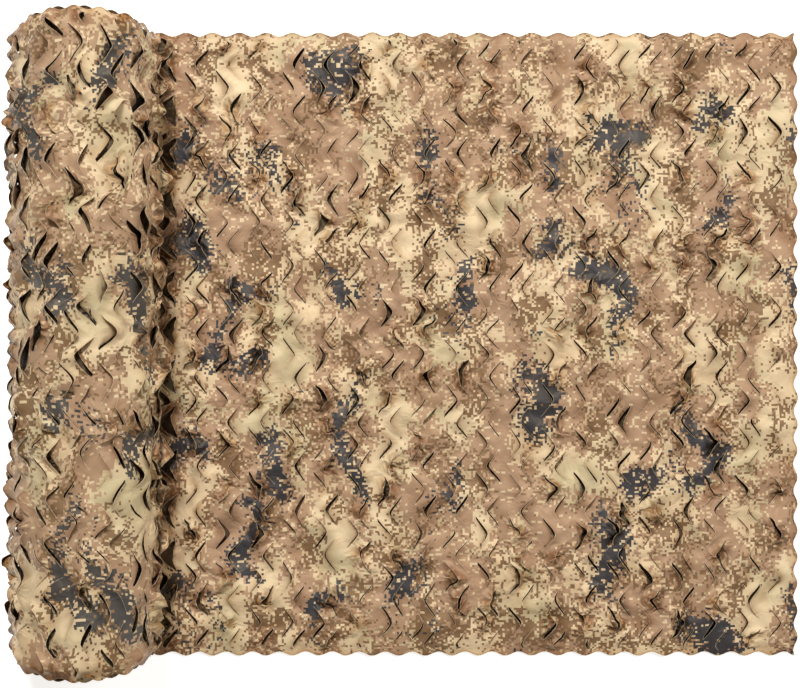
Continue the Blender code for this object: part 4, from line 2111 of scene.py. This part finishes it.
@dataclass(frozen=True)
class Softbox:
    """A square light that points at the middle of the scene."""

    name: str
    place: Triple
    size: float
    watts: float

    def add(self, scene: bpy.types.Scene) -> None:
        """Hangs the light.

        Args:
            scene: The scene that it lights.
        """
        data = bpy.data.lights.new(self.name, "AREA")
        data.size, data.energy = self.size, self.watts
        lamp = bpy.data.objects.new(self.name, data)
        lamp.location = self.place
        lamp.rotation_euler = (-Vector(self.place)).to_track_quat("-Z", "Y").to_euler()
        scene.collection.objects.link(lamp)


@dataclass
class Studio:
    """The floor, the lights and the camera."""

    camera_height: float = 4.5
    frame_width: float = 1.929
    centre_x: float = -0.0235
    sensor: float = 36.0
    floor_size: float = 6.0
    floor_grey: float = 0.80
    floor_roughness: float = 0.9
    floor_glow: float = 0.72
    softboxes: tuple[Softbox, ...] = (
        Softbox("left_light", (-1.1, 5.4, 6.9), 1.8, 735.0),
        Softbox("right_light", (5.8, 2.4, 6.6), 2.4, 245.0),
    )
    sky_colour: Colour = (1.0, 0.86, 0.66, 1.0)
    sky_strength: float = 0.22

    def build(self) -> None:
        """Adds them to the scene."""
        scene = bpy.context.scene
        scene.view_settings.view_transform = "Standard"
        self.add_floor(scene)
        self.add_camera(scene)
        for softbox in self.softboxes:
            softbox.add(scene)
        self.add_sky(scene)

    def add_floor(self, scene: bpy.types.Scene) -> None:
        """Lays a plain pale floor that glows a little.

        Args:
            scene: The scene.
        """
        floor = bmesh.new()
        bmesh.ops.create_grid(floor, x_segments=1, y_segments=1, size=self.floor_size)
        mesh = bpy.data.meshes.new("floor")
        floor.to_mesh(mesh)
        floor.free()
        plane = bpy.data.objects.new("floor", mesh)
        scene.collection.objects.link(plane)
        material = bpy.data.materials.new("floor")
        material.use_nodes = True
        shader = material.node_tree.nodes["Principled BSDF"]
        shader.inputs["Base Color"].default_value = (*[self.floor_grey] * 3, 1.0)
        shader.inputs["Roughness"].default_value = self.floor_roughness
        shader.inputs["Emission Color"].default_value = (1.0, 1.0, 1.0, 1.0)
        shader.inputs["Emission Strength"].default_value = self.floor_glow
        mesh.materials.append(material)

    def add_camera(self, scene: bpy.types.Scene) -> None:
        """Hangs a camera straight above the middle of the frame.

        Args:
            scene: The scene.
        """
        data = bpy.data.cameras.new("camera")
        data.sensor_width = self.sensor
        data.lens = self.sensor * self.camera_height / self.frame_width
        camera = bpy.data.objects.new("camera", data)
        camera.location = (self.centre_x, 0.0, self.camera_height)
        scene.collection.objects.link(camera)
        scene.camera = camera

    def add_sky(self, scene: bpy.types.Scene) -> None:
        """Adds a warm dim light all round.

        Args:
            scene: The scene.
        """
        world = bpy.data.worlds.new("studio")
        world.use_nodes = True
        sky = world.node_tree.nodes["Background"]
        sky.inputs["Color"].default_value = self.sky_colour
        sky.inputs["Strength"].default_value = self.sky_strength
        scene.world = world


def main() -> None:
    """Builds and dresses the netting, and reports each piece."""
    logging.basicConfig(level=logging.INFO, format="%(message)s")
    form = RollForm()
    Studio().build()
    for assembly in (LooseEnd(form), Roll(form)):
        assembly.build()
        assembly.dress()
        for piece in assembly.pieces:
            triangles = sum(len(face.vertices) - 2 for face in piece.data.polygons)
            LOG.info("%s: %d triangles", piece.name, triangles)


if __name__ == "__main__":
    main()
